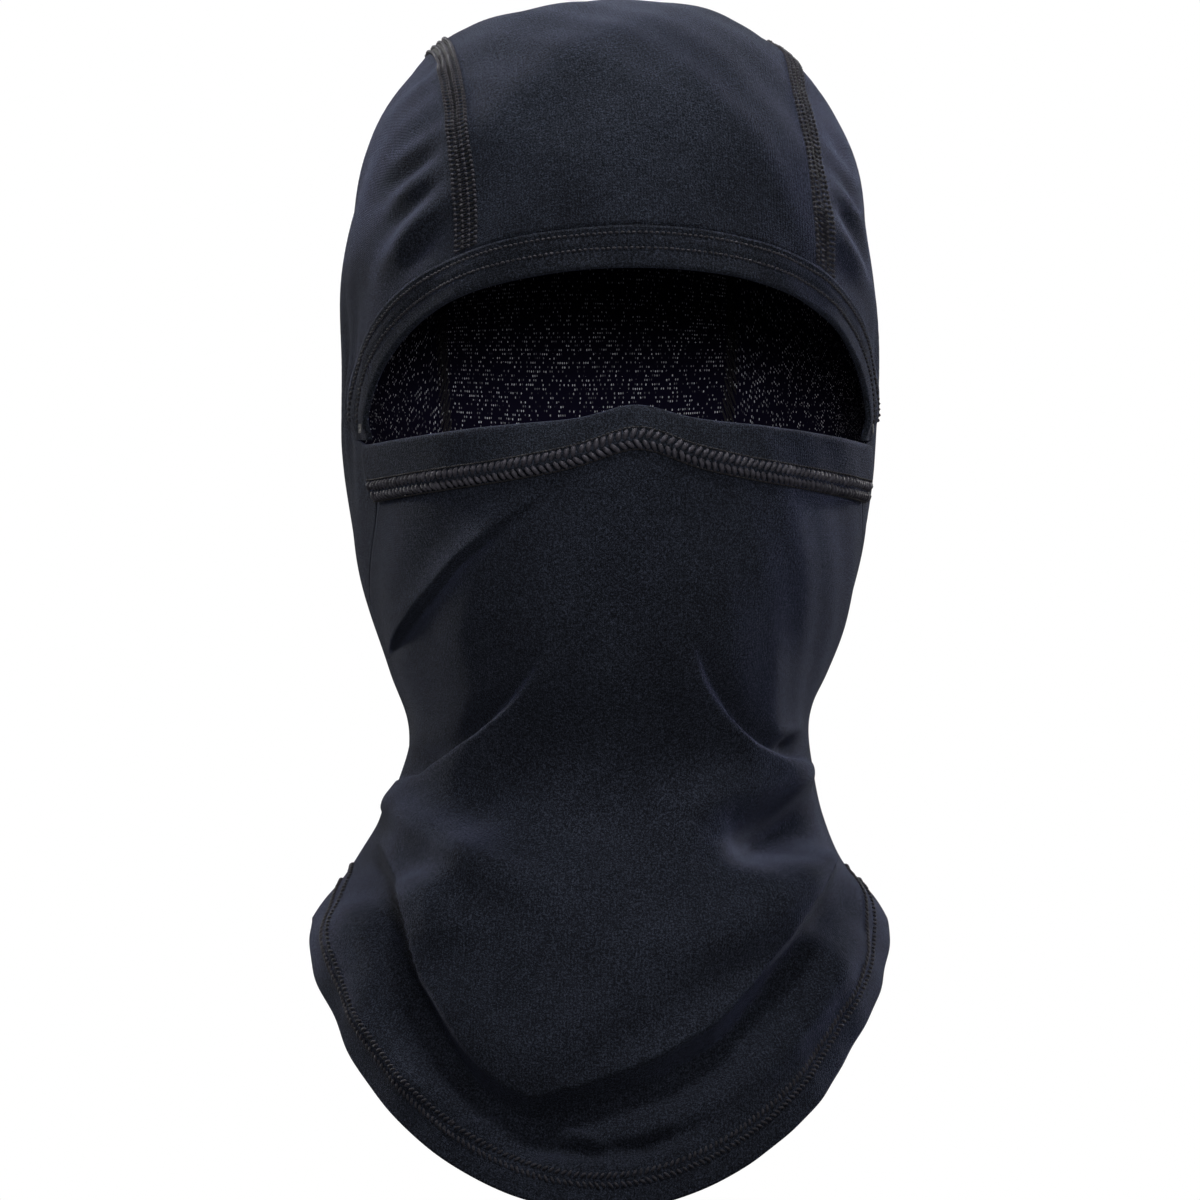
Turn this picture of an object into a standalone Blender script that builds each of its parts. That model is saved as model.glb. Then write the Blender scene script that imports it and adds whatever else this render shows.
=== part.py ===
"""Knitted balaclava, open at the eyes, as its cut panels, bands, hems, seam threads and label.

Metres, +Z up. The origin is the middle of the space for the head. The face looks along -Y.
"""

import math

import bmesh
import bpy
from mathutils import Vector

# ---- driving sizes -------------------------------------------------------------------------
HEAD_HALF_WIDTH = 0.0801      # half the width across the ears
HEAD_FRONT = 0.100            # from the ear line to the brow
HEAD_BACK = 0.099             # from the ear line to the back of the head
EAR_LINE_Y = 0.003            # where the widest section lies
CROWN_HEIGHT = 0.105          # from the origin to the top of the crown
CROWN_SQUARENESS = 2.6        # 2 is an ellipse, more is squarer
NOSE_LIFT = 0.005             # how far the mask stands out over the nose
NOSE_WIDTH = math.radians(13)
NOSE_Z = -0.030
NOSE_HEIGHT = 0.026

NECK_HALF_WIDTH = 0.0603      # at the neck's narrowest, under the jaw
NECK_FRONT = 0.0880
NECK_BACK = 0.0710
SHOULDER_HALF_WIDTH = 0.0915  # where the bib hangs from the shoulders
SHOULDER_FRONT = 0.0990
SHOULDER_BACK = 0.0890

FACE_HALF_ANGLE = math.radians(69)     # half the face opening, round the head
FACE_CORNER_Z = -0.0285
FACE_ARCH = 0.0515                     # height of the arch over the corners
BROW_BAND_WIDTH = 0.0124
MASK_RISE = 0.0070                     # rise of the mask's edge from corner to middle
MASK_NOSE_PEAK = 0.0040
MASK_HEM_MIDDLE = 0.0100
MASK_HEM_END = 0.0140

SEAM_X_BROW = 0.0540          # half the crown strip's width, at the brow,
SEAM_X_TOP = 0.0505           # at the top,
SEAM_X_BACK = 0.0450          # at the back of the head,
SEAM_X_NAPE = 0.0340          # and at the nape
SEAM_X_HEM = 0.0440           # and at the hem
NAPE_Z = -0.110
CORNER_TURN = 0.35            # round the head from the middle back to the strip's corner at the hem

SIDE_SEAM_TOP = math.radians(71)       # round the head, just below the corner
SIDE_SEAM_NECK = math.radians(97)      # and from the jaw down

HEM_SIDE_Z = -0.1705          # the lower edge over the shoulders
BIB_DROP_FRONT = 0.0840       # and how much lower it is at the middle front
BIB_DROP_BACK = 0.0600        # and at the middle back
BIB_BOW_FRONT = 1.5          # 1 is a straight V from the sides, more is flatter over the shoulders
BIB_BOW_BACK = 1.7
HEM_TURN = 0.0095             # depth of the turned-up hem
PANEL_SPLIT_Z = -0.1230       # the front panel folds above this height

FABRIC = 0.0010
BAND = 0.0018                 # a band of folded fabric
THREAD = 0.0004
GAP = 0.0003                  # between pieces that touch
SIDE_SEAM_GAP = 0.00075       # between the front panel and each side panel
LAY = 0.0006                  # between a thread and the cloth under it
INNER_LAY = 0.0011            # the same, inside the hood
PIVOT_CLEAR = 0.0018          # round the turning end of the mask's hem
TURNUP = 0.0008               # the folded-up layer of the lower hem
TURNUP_LAY = 0.0010           # between it and the cloth

BROW_BAND_REACH = 0.93        # where the band ends, as a share of the arch from its middle,
BAND_SIDE_END = 0.99          # and how far down the arch the side panel follows it
BROW_ROW_REACH = 0.885
BROW_ROW_INSET = 0.0022       # from the band's outer edge to the first row
BROW_ROW_SPACING = 0.0044
BROW_ROW_WIDTH = 0.0010
BARTACK_INSET = 0.009         # from the band's end, as a share of the arch
BARTACK_SHARE = 0.020
CROWN_SEAM_WIDTH = 0.0060
CROWN_SEAM_FROM = 0.012       # where its threads start and end, as shares of the crown strip
CROWN_SEAM_TO = 0.965
SIDE_TOP = 0.010              # where the side panel starts, as a share of the crown strip
MASK_ROW_SHORT = 0.020        # radians that the mask's rows end before its pivots
MASK_STITCH_WIDTH = 0.0048
HEM_ROW_INSET = 0.0012        # from the turned-up edge down to the first row
HEM_STITCH_SPACING = 0.0040
HEM_ROW_WIDTH = 0.0010
OVERLOCK_WIDTH = 0.0040
OVERLOCK_TOP = 0.012          # from the mask's hem down to the overlocked seam
OVERLOCK_FOOT = 0.003         # from the turned-up hem up to it

LABEL_WIDTH = 0.030
LABEL_HEIGHT = 0.016
LABEL_THICKNESS = 0.0004
LABEL_Z = -0.092
LABEL_STITCH_INSET = 0.0025   # from the label's upper edge
LABEL_STITCH_WIDTH = 0.0010
LABEL_STITCH_END = 0.0010     # from each end of the label

# height, then half width, front and back as shares of the head's, the neck's and the shoulders' own
HEAD_ROWS = (
    (0.000, 1.000, 1.000, 1.000),
    (-0.020, 0.999, 1.040, 0.990),
    (-0.040, 0.984, 1.060, 0.960),
    (-0.060, 0.953, 1.055, 0.899),
    (-0.080, 0.886, 1.020, 0.823),
)
NECK_ROWS = (
    (-0.096, 1.078, 1.091, 1.063),
    (-0.111, 1.000, 1.000, 1.000),
    (-0.125, 1.022, 0.943, 0.972),
    (-0.140, 1.086, 0.938, 0.986),
    (-0.153, 1.204, 0.960, 1.028),
)
SHOULDER_ROWS = (
    (-0.165, 0.902, 0.889, 0.865),
    (-0.175, 0.962, 0.919, 0.910),
    (-0.185, 0.984, 0.950, 0.944),
    (-0.200, 1.000, 1.000, 1.000),
    (-0.225, 1.044, 1.061, 1.067),
    (-0.262, 1.077, 1.121, 1.124),
)
SECTIONS = tuple(
    (z, half * own[0], front * own[1], back * own[2])
    for rows, own in (
        (HEAD_ROWS, (HEAD_HALF_WIDTH, HEAD_FRONT, HEAD_BACK)),
        (NECK_ROWS, (NECK_HALF_WIDTH, NECK_FRONT, NECK_BACK)),
        (SHOULDER_ROWS, (SHOULDER_HALF_WIDTH, SHOULDER_FRONT, SHOULDER_BACK)),
    )
    for z, half, front, back in rows
)

COLLECTION = "balaclava"


# ---- the surface that every piece lies on ---------------------------------------------------
def station(z, column):
    """A size of the section at height z, on a smooth curve through SECTIONS."""
    rows = SECTIONS
    z = min(max(z, rows[-1][0]), rows[0][0])
    i = 0
    while i < len(rows) - 2 and z < rows[i + 1][0]:
        i += 1
    z0, z1 = rows[i][0], rows[i + 1][0]
    v0, v1 = rows[i][column], rows[i + 1][column]
    step = (v1 - v0) / (z1 - z0)
    m0 = 0.0 if i == 0 else 0.5 * (step + (v0 - rows[i - 1][column]) / (z0 - rows[i - 1][0]))
    last = i + 2 >= len(rows)
    m1 = step if last else 0.5 * (step + (rows[i + 2][column] - v1) / (rows[i + 2][0] - z1))
    h = z1 - z0
    t = (z - z0) / h
    return (
        (1 + 2 * t) * (1 - t) ** 2 * v0
        + t * (1 - t) ** 2 * h * m0
        + t * t * (3 - 2 * t) * v1
        + t * t * (t - 1) * h * m1
    )


def section(z):
    """Half width, front and back of the section at height z, measured from the ear line."""
    if z > 0:
        share = min(z / CROWN_HEIGHT, 0.9999)
        fall = (1 - share**CROWN_SQUARENESS) ** (1 / CROWN_SQUARENESS)
        return HEAD_HALF_WIDTH * fall, HEAD_FRONT * fall, HEAD_BACK * fall
    return station(z, 1), station(z, 2), station(z, 3)


def spot(turn, z):
    """The point of the surface at an angle round the head, 0 at the face, and a height."""
    half, front, back = section(z)
    depth = front if math.cos(turn) > 0 else back
    nose = NOSE_LIFT * math.exp(-((turn / NOSE_WIDTH) ** 2) - ((z - NOSE_Z) / NOSE_HEIGHT) ** 2)
    y = EAR_LINE_Y - depth * math.cos(turn) - nose
    return Vector((half * math.sin(turn), y, z))


def outward(turn, z):
    """The surface's outward direction there."""
    e = 1e-4
    across = spot(turn + e, z) - spot(turn - e, z)
    low = min(z + 1e-5, CROWN_HEIGHT * 0.9995)
    up = spot(turn, low) - spot(turn, low - 2e-5)
    n = across.cross(up)
    return n.normalized()


def over(turn, z, lift):
    """A point a distance off the surface."""
    return spot(turn, z) + outward(turn, z) * lift


def turn_at(x, z, at_back=False):
    """The angle round the head of the point that is x from the middle plane."""
    half = section(z)[0]
    angle = math.asin(max(-1.0, min(1.0, x / half)))
    return (math.pi - angle if x >= 0 else -math.pi - angle) if at_back else angle


def hem_z(turn):
    """Height of the lower edge."""
    c = math.cos(turn)
    if c > 0:
        return HEM_SIDE_Z - BIB_DROP_FRONT * c**BIB_BOW_FRONT
    return HEM_SIDE_Z - BIB_DROP_BACK * (-c) ** BIB_BOW_BACK


def arch(t, outset=0.0):
    """The face opening's arch: t from -1 at the left corner to 1 at the right one."""
    wide = FACE_HALF_ANGLE + outset / HEAD_HALF_WIDTH
    a = t * math.pi / 2
    return wide * math.sin(a), FACE_CORNER_Z + (FACE_ARCH + outset) * math.cos(a)


def mask_top(turn):
    """Height of the mask's upper edge."""
    fall = math.cos(min(abs(turn) / FACE_HALF_ANGLE, 1.0) * math.pi / 2) ** 1.3
    peak = MASK_NOSE_PEAK * math.exp(-((turn / math.radians(9)) ** 2))
    return FACE_CORNER_Z + MASK_RISE * fall + peak


def mask_hem_depth(turn):
    """Height of the mask's hem."""
    share = 1 - math.exp(-((turn / math.radians(20)) ** 2))
    return MASK_HEM_MIDDLE + (MASK_HEM_END - MASK_HEM_MIDDLE) * share


END_RADIUS = MASK_HEM_END / 2
PIVOT_TURN = FACE_HALF_ANGLE - END_RADIUS / HEAD_HALF_WIDTH
PIVOT_Z = mask_top(PIVOT_TURN) - mask_hem_depth(PIVOT_TURN) / 2
PIVOT_ARC = HEAD_HALF_WIDTH * 1.06     # metres of cloth for each radian round the head there
NOTCH_FROM = math.radians(50)          # the notch round the mask hem's end starts above the pivot
NOTCH_SWEEP = math.radians(105)


def side_seam_turn(z):
    """The side seam's angle round the head, from just under the corner to the hem."""
    t = min(max((PIVOT_Z - END_RADIUS - z) / 0.060, 0.0), 1.0)
    return SIDE_SEAM_TOP + (SIDE_SEAM_NECK - SIDE_SEAM_TOP) * t * t * (3 - 2 * t)


def seam_x(share):
    """Half the crown strip's width: 0 at the brow, 1 at the back of the head."""
    if share < 0.5:
        t = share * 2
        return SEAM_X_BROW + (SEAM_X_TOP - SEAM_X_BROW) * t * t * (3 - 2 * t)
    t = share * 2 - 1
    return SEAM_X_TOP + (SEAM_X_BACK - SEAM_X_TOP) * t * t * (3 - 2 * t)


def seam_x_below(z, bottom):
    """Half the crown strip's width below the back of the head."""
    if z > NAPE_Z:
        t = z / NAPE_Z
        return SEAM_X_BACK + (SEAM_X_NAPE - SEAM_X_BACK) * t * t * (3 - 2 * t)
    t = min((z - NAPE_Z) / (bottom - NAPE_Z), 1.0)
    return SEAM_X_NAPE + (SEAM_X_HEM - SEAM_X_NAPE) * t * t


def from_roll(x, roll):
    """(turn, z) of the crown at x, rolled from the face (0) over the top to the back (pi)."""
    lo, hi = 0.0, 0.16
    for _ in range(46):
        mid = (lo + hi) / 2
        y, z = EAR_LINE_Y - mid * math.cos(roll), mid * math.sin(roll)
        inside = False
        if z < CROWN_HEIGHT * 0.9999:
            half, front, back = section(z)
            depth = front if y < EAR_LINE_Y else back
            inside = (x / half) ** 2 + ((y - EAR_LINE_Y) / depth) ** 2 < 1
        lo, hi = (mid, hi) if inside else (lo, mid)
    y, z = EAR_LINE_Y - lo * math.cos(roll), lo * math.sin(roll)
    return x, y, z


def brow_roll(x):
    """Where on the roll the crown strip starts, above the brow band."""
    lo, hi = 0.0, 1.0
    for _ in range(40):
        mid = (lo + hi) / 2
        turn, z = arch(mid, BROW_BAND_WIDTH + GAP)
        if spot(turn, z).x < abs(x):
            lo = mid
        else:
            hi = mid
    turn, z = arch(lo, BROW_BAND_WIDTH + GAP)
    p = spot(turn, z)
    return math.atan2(p.z, EAR_LINE_Y - p.y)


ROLL_SHARE = 0.56             # the part of the crown strip's length above the back of the head


def crown_spot(across, along, lift=0.0, inset=0.0):
    """A point of the crown strip. across is -1 to 1, along 0 at the brow to 1 at the hem."""
    if along <= ROLL_SHARE:
        share = along / ROLL_SHARE
        x = across * (seam_x(share) - inset)
        start = brow_roll(x)
        x, y, z = from_roll(x, start + (math.pi - start) * share)
        p = Vector((x, y, z))
        return p + crown_outward(p) * lift
    share = (along - ROLL_SHARE) / (1 - ROLL_SHARE)
    turn, z = back_spot(across, share, inset)
    return over(turn, z, lift)


def back_spot(across, share, inset=0.0):
    """(turn, z) of the crown strip below the back of the head."""
    end = hem_z(math.pi - CORNER_TURN * abs(across))
    z = share * end
    turn = math.pi
    for _ in range(6):
        x = across * (seam_x_below(z, end) - inset)
        turn = turn_at(x, z, at_back=True)
        z = share * hem_z(turn)
    return turn, z


def crown_outward(p):
    """The outward direction at a point of the crown."""
    e = 1e-5

    def level(q):
        half, front, back = section(q.z)
        depth = front if q.y < EAR_LINE_Y else back
        return (q.x / half) ** 2 + ((q.y - EAR_LINE_Y) / depth) ** 2

    z_low = Vector((p.x, p.y, min(p.z, CROWN_HEIGHT * 0.999)))
    base = level(z_low)
    n = Vector(
        (
            level(z_low + Vector((e, 0, 0))) - base,
            level(z_low + Vector((0, e, 0))) - base,
            base - level(z_low - Vector((0, 0, e))),
        )
    )
    return n.normalized()


def seam_place(along, inset=0.0):
    """(turn, z) of the right crown seam."""
    if along <= ROLL_SHARE:
        p = crown_spot(1.0, along, inset=inset)
        half, front, back = section(p.z)
        depth = front if p.y < EAR_LINE_Y else back
        return math.atan2(p.x / half, (EAR_LINE_Y - p.y) / depth), p.z
    return back_spot(1.0, (along - ROLL_SHARE) / (1 - ROLL_SHARE), inset)


# ---- scene helpers --------------------------------------------------------------------------
def clear_scene():
    for old in list(bpy.data.objects):
        bpy.data.objects.remove(old, do_unlink=True)


def finish_material(name, colour, roughness, metallic=0.0):
    made = bpy.data.materials.new(name)
    made.use_nodes = True
    shader = made.node_tree.nodes["Principled BSDF"]
    shader.inputs["Base Color"].default_value = (*colour, 1.0)
    shader.inputs["Roughness"].default_value = roughness
    shader.inputs["Metallic"].default_value = metallic
    return made


def knit(name):
    return finish_material(name + "_knit", (0.018, 0.021, 0.030), 0.95)


def thread_finish(name):
    return finish_material(name + "_thread", (0.030, 0.022, 0.020), 0.70)


def label_finish(name):
    return finish_material(name + "_satin", (0.020, 0.020, 0.022), 0.45)


def sheet_piece(group, name, columns, rows, place, thickness, material, ring=False):
    """A shell: a grid laid on place(u, v), u across and v up from 0 to 1, thickened inwards."""
    bm = bmesh.new()
    bmesh.ops.create_grid(bm, x_segments=columns, y_segments=rows, size=0.5)
    for vert in bm.verts:
        u, v = vert.co.x + 0.5, vert.co.y + 0.5
        vert.co = place(min(max(u, 0.0), 1.0), min(max(v, 0.0), 1.0))
    if ring:
        bmesh.ops.remove_doubles(bm, verts=bm.verts, dist=0.00005)
    mesh = bpy.data.meshes.new(name)
    bm.to_mesh(mesh)
    bm.free()
    mesh.shade_smooth()
    made = bpy.data.objects.new(name, mesh)
    group.objects.link(made)
    made.data.materials.append(material)
    wall = made.modifiers.new("wall", "SOLIDIFY")
    wall.thickness = thickness
    wall.offset = -1.0
    wall.use_even_offset = False
    return made


# ---- cloth panels ---------------------------------------------------------------------------
def crown_panel(group):
    edge = GAP / 2

    def place(u, v):
        return crown_spot(2 * u - 1, v, inset=edge)

    sheet_piece(group, "crown_panel", 8, 46, place, FABRIC, knit("crown_panel"))


SIDE_ROWS = 36                # rows of the side panel's grid, of which
BAND_ROWS = 13                # these follow the brow band
NOTCH_ROWS = 4                # and these go round the end of the mask's hem


def front_edge(row):
    """(turn, z) down the side panel's front edge: along the brow band, then the side seam."""
    if row <= BAND_ROWS:
        start = brow_edge_share() + SIDE_TOP * ROLL_SHARE
        turn, z = arch(start + (BAND_SIDE_END - start) * row / BAND_ROWS, BROW_BAND_WIDTH + GAP)
        return turn + GAP / HEAD_HALF_WIDTH, z
    row -= BAND_ROWS + 1
    if row <= NOTCH_ROWS:
        return notch_place(max(row, 0.0) / NOTCH_ROWS)
    share = (row - NOTCH_ROWS) / (SIDE_ROWS - BAND_ROWS - 1 - NOTCH_ROWS)
    top = notch_place(1.0)[1]
    z = top + (hem_z(SIDE_SEAM_NECK) - top) * share
    return seam_line(z), z


def seam_line(z):
    """The side seam's angle at a height, led into the notch round the mask hem's end."""
    turn, top = notch_place(1.0)
    share = min(max((top - z) / (top - HEM_SIDE_Z), 0.0), 1.0)
    return side_seam_turn(z) + (turn - side_seam_turn(top)) * (1 - share) ** 6


def notch_place(s):
    """(turn, z) round the back of the mask hem's end, from above it to below it."""
    r = END_RADIUS + PIVOT_CLEAR
    a = NOTCH_FROM - NOTCH_SWEEP * s
    return PIVOT_TURN + r * math.cos(a) / PIVOT_ARC, PIVOT_Z + r * math.sin(a)


def brow_edge_share():
    """The place on the arch where the crown seam meets the brow band."""
    lo, hi = 0.0, 1.0
    for _ in range(40):
        mid = (lo + hi) / 2
        turn, z = arch(mid, BROW_BAND_WIDTH + GAP)
        if spot(turn, z).x < SEAM_X_BROW + GAP / 2:
            lo = mid
        else:
            hi = mid
    return lo


def side_place(u, v):
    """(turn, z) on the right side panel: u 0 at the front edge, 1 at the crown seam."""
    ft, fz = front_edge(v * SIDE_ROWS)
    bt, bz = seam_place(SIDE_TOP + (1 - SIDE_TOP) * v, inset=-GAP / 2)
    # rows leave the band and the notch sideways before they climb to the seam
    bow = math.sin(min(max(v / 0.75, 0.0), 1.0) * math.pi) ** 0.8
    turn = ft + (bt - ft) * u
    z = fz + (bz - fz) * u ** (1 + 1.3 * bow)
    low = max(v - 0.6, 0.0) / 0.4
    z += low**2 * (hem_z(turn) - hem_z(ft) - (hem_z(bt) - hem_z(ft)) * u)
    return turn, z


def side_panel(group, name, side):
    def place(u, v):
        turn, z = side_place(1 - u if side > 0 else u, v)
        p = spot(turn, z)
        return Vector((side * p.x, p.y, p.z))

    sheet_piece(group, name, 11, SIDE_ROWS, place, FABRIC, knit(name))


def mask_bottom(turn):
    return mask_top(turn) - mask_hem_depth(turn) - GAP


def front_panel_mask(group):
    """The part of the front panel over the nose, mouth and chin, which folds as the mask drops."""
    low = PANEL_SPLIT_Z + GAP / 2

    def place(u, v):
        spread = 2 * u - 1
        turn = spread * PIVOT_TURN
        z = low
        for _ in range(4):
            high = mask_bottom(min(abs(turn), PIVOT_TURN))
            z = low + (high - low) * v
            turn = spread * (seam_line(z) - SIDE_SEAM_GAP / HEAD_HALF_WIDTH)
        return spot(turn, z)

    sheet_piece(group, "front_panel_mask", 20, 12, place, FABRIC, knit("front_panel_mask"))


def front_panel_neck(group):
    """The part of the front panel round the neck, and the bib over the chest."""

    def place(u, v):
        spread = 2 * u - 1
        top = PANEL_SPLIT_Z - GAP / 2
        turn = spread * (SIDE_SEAM_NECK - SIDE_SEAM_GAP / HEAD_HALF_WIDTH)
        z = hem_z(turn) + (top - hem_z(turn)) * v
        return spot(turn, z)

    sheet_piece(group, "front_panel_neck", 28, 10, place, FABRIC, knit("front_panel_neck"))


def care_label(group):
    """A blank label, folded flat, sewn inside the nape."""

    def place(u, v):
        x = (0.5 - u) * LABEL_WIDTH
        z = LABEL_Z + v * LABEL_HEIGHT
        turn = turn_at(x, z, at_back=True)
        return over(turn, z, -(FABRIC + LAY))

    sheet_piece(group, "care_label", 6, 4, place, LABEL_THICKNESS, label_finish("care_label"))


def care_label_stitches(group):
    """The row of thread along the label's upper edge."""

    def place(u, v):
        x = (0.5 - u) * (LABEL_WIDTH - 2 * LABEL_STITCH_END)
        z = LABEL_Z + LABEL_HEIGHT - LABEL_STITCH_INSET + v * LABEL_STITCH_WIDTH
        turn = turn_at(x, z, at_back=True)
        return over(turn, z, -(FABRIC + LAY + LABEL_THICKNESS + GAP))

    name = "care_label_stitches"
    sheet_piece(group, name, 8, 1, place, THREAD, thread_finish(name))


# ---- bands and hems -------------------------------------------------------------------------
ROUND_END = math.radians(88)  # the mask hem's end stops just before it closes to a point


def brow_band(group):
    """The folded band round the top and sides of the face opening."""

    def place(u, v):
        turn, z = arch(BROW_BAND_REACH * (2 * u - 1), BROW_BAND_WIDTH * v)
        return over(turn, z, (BAND - FABRIC) / 2)

    sheet_piece(group, "brow_band", 40, 2, place, BAND, knit("brow_band"))


def mask_hem(group):
    """The folded hem along the mask's upper edge, with round ends about the pivots."""

    def place(u, v):
        spread = 2 * u - 1
        arc = abs(spread)
        body = 0.90  # the share of the hem between the pivots, the rest is its round ends
        if arc <= body:
            turn = PIVOT_TURN * arc / body
            top = mask_top(turn)
            z = top - mask_hem_depth(turn) * (1 - v)
        else:
            s = (arc - body) / (1 - body)
            reach = END_RADIUS * math.sin(s * ROUND_END)
            half = math.sqrt(max(END_RADIUS**2 - reach**2, 0.0))
            turn = PIVOT_TURN + reach / PIVOT_ARC
            z = PIVOT_Z + (2 * v - 1) * half
        return over(math.copysign(turn, spread), z, (BAND - FABRIC) / 2)

    sheet_piece(group, "mask_hem", 40, 2, place, BAND, knit("mask_hem"))


def neck_hem_turnup(group):
    """The edge folded up inside, all the way round the lower edge."""

    def place(u, v):
        turn = math.pi * (2 * u - 1)
        z = hem_z(turn) + 0.0004 + HEM_TURN * v
        return over(turn, z, -(FABRIC + TURNUP_LAY))

    name = "neck_hem_turnup"
    sheet_piece(group, name, 56, 1, place, TURNUP, knit(name), ring=True)


# ---- seam threads ---------------------------------------------------------------------------
def crown_seam(group, name, side, lift):
    """A band of flat seam threads along a crown seam, outside or inside the cloth."""

    def place(u, v):
        along = CROWN_SEAM_FROM + (CROWN_SEAM_TO - CROWN_SEAM_FROM) * v
        across = (u - 0.5) * CROWN_SEAM_WIDTH
        p = crown_spot(1.0, along, lift=lift, inset=across)
        return Vector((side * p.x, p.y, p.z))

    made = sheet_piece(group, name, 1, 46, place, THREAD, thread_finish(name))
    if side > 0:
        flip(made)


def flip(made):
    """Turns a sheet's faces over, so that it thickens the other way."""
    bm = bmesh.new()
    bm.from_mesh(made.data)
    bmesh.ops.reverse_faces(bm, faces=bm.faces)
    bm.to_mesh(made.data)
    bm.free()


def brow_row(group, name, inset, width, lift):
    """A row of thread along the brow band, set in from its outer edge."""

    def place(u, v):
        outset = BROW_BAND_WIDTH - inset - width * (1 - v)
        turn, z = arch(BROW_ROW_REACH * (2 * u - 1), outset)
        return over(turn, z, lift)

    sheet_piece(group, name, 36, 1, place, THREAD, thread_finish(name))


def mask_row(group, name, below, width, lift):
    """A row of thread along the mask's hem, below its upper edge."""

    def place(u, v):
        turn = (PIVOT_TURN - MASK_ROW_SHORT) * (2 * u - 1)
        z = mask_top(turn) - mask_hem_depth(turn) + below + width * v
        return over(turn, z, lift)

    sheet_piece(group, name, 36, 1, place, THREAD, thread_finish(name))


def hem_row(group, name, above, width, lift):
    """A row of thread all the way round the lower hem."""

    def place(u, v):
        turn = math.pi * (2 * u - 1)
        z = hem_z(turn) + HEM_TURN - above + width * v
        return over(turn, z, lift)

    sheet_piece(group, name, 56, 1, place, THREAD, thread_finish(name), ring=True)


def side_seam(group, name, side):
    """The overlocked seam inside, down each side of the front panel."""

    def place(u, v):
        low = hem_z(SIDE_SEAM_NECK) + HEM_TURN + OVERLOCK_FOOT
        high = PIVOT_Z - END_RADIUS - OVERLOCK_TOP
        z = low + (high - low) * v
        turn = side_seam_turn(z) + (u - 0.5) * OVERLOCK_WIDTH / section(z)[0]
        p = over(turn, z, -(FABRIC + LAY))
        return Vector((side * p.x, p.y, p.z))

    made = sheet_piece(group, name, 1, 18, place, THREAD * 2, thread_finish(name))
    if side < 0:
        flip(made)


def bartack(group, name, side):
    """The short bar of thread that locks a corner of the face opening."""

    def place(u, v):
        end = BROW_BAND_REACH - BARTACK_INSET
        turn, z = arch(end - BARTACK_SHARE * v, BROW_BAND_WIDTH * (0.25 + 0.5 * u))
        p = over(turn, z, (BAND - FABRIC) / 2 + LAY + THREAD)
        return Vector((side * p.x, p.y, p.z))

    made = sheet_piece(group, name, 3, 1, place, THREAD, thread_finish(name))
    if side < 0:
        flip(made)


# ---- assembly -------------------------------------------------------------------------------
def main():
    clear_scene()
    group = bpy.data.collections.new(COLLECTION)
    bpy.context.scene.collection.children.link(group)

    crown_panel(group)
    side_panel(group, "side_panel_left", -1)
    side_panel(group, "side_panel_right", 1)
    front_panel_mask(group)
    front_panel_neck(group)
    brow_band(group)
    mask_hem(group)
    neck_hem_turnup(group)

    outside = LAY + THREAD
    inside = -(FABRIC + INNER_LAY)
    for side, word in ((-1, "left"), (1, "right")):
        crown_seam(group, f"crown_seam_{word}_outer_threads", side, outside)
        crown_seam(group, f"crown_seam_{word}_inner_threads", side, inside)
        side_seam(group, f"side_seam_{word}_overlock", side)
        bartack(group, f"bartack_{word}", side)

    band_out = (BAND - FABRIC) / 2 + outside
    band_in = (BAND - FABRIC) / 2 - BAND - LAY
    first = BROW_ROW_INSET
    second = first + BROW_ROW_SPACING
    brow_row(group, "brow_needle_row_upper", first, BROW_ROW_WIDTH, band_out)
    brow_row(group, "brow_needle_row_lower", second, BROW_ROW_WIDTH, band_out)
    brow_row(group, "brow_looper_threads", first, BROW_ROW_SPACING + BROW_ROW_WIDTH, band_in)

    mask_row(group, "mask_cover_threads", 0.0, MASK_STITCH_WIDTH, band_out)
    mask_row(group, "mask_looper_threads", 0.0, MASK_STITCH_WIDTH, band_in)

    row = HEM_ROW_WIDTH
    upper = HEM_ROW_INSET
    lower = upper + HEM_STITCH_SPACING
    turned = -(FABRIC + TURNUP_LAY + TURNUP + TURNUP_LAY)
    hem_row(group, "hem_needle_row_upper", upper, row, outside)
    hem_row(group, "hem_needle_row_lower", lower, row, outside)
    hem_row(group, "hem_looper_threads", lower, lower - upper + row, turned)

    care_label(group)
    care_label_stitches(group)


main()
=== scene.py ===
"""A worn balaclava in fine wool jersey: cut panels, folded bands, seams and stitches."""
import logging
import math
from dataclasses import dataclass, field
from enum import Enum
from math import radians
from typing import Callable, Iterable, Sequence

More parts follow.
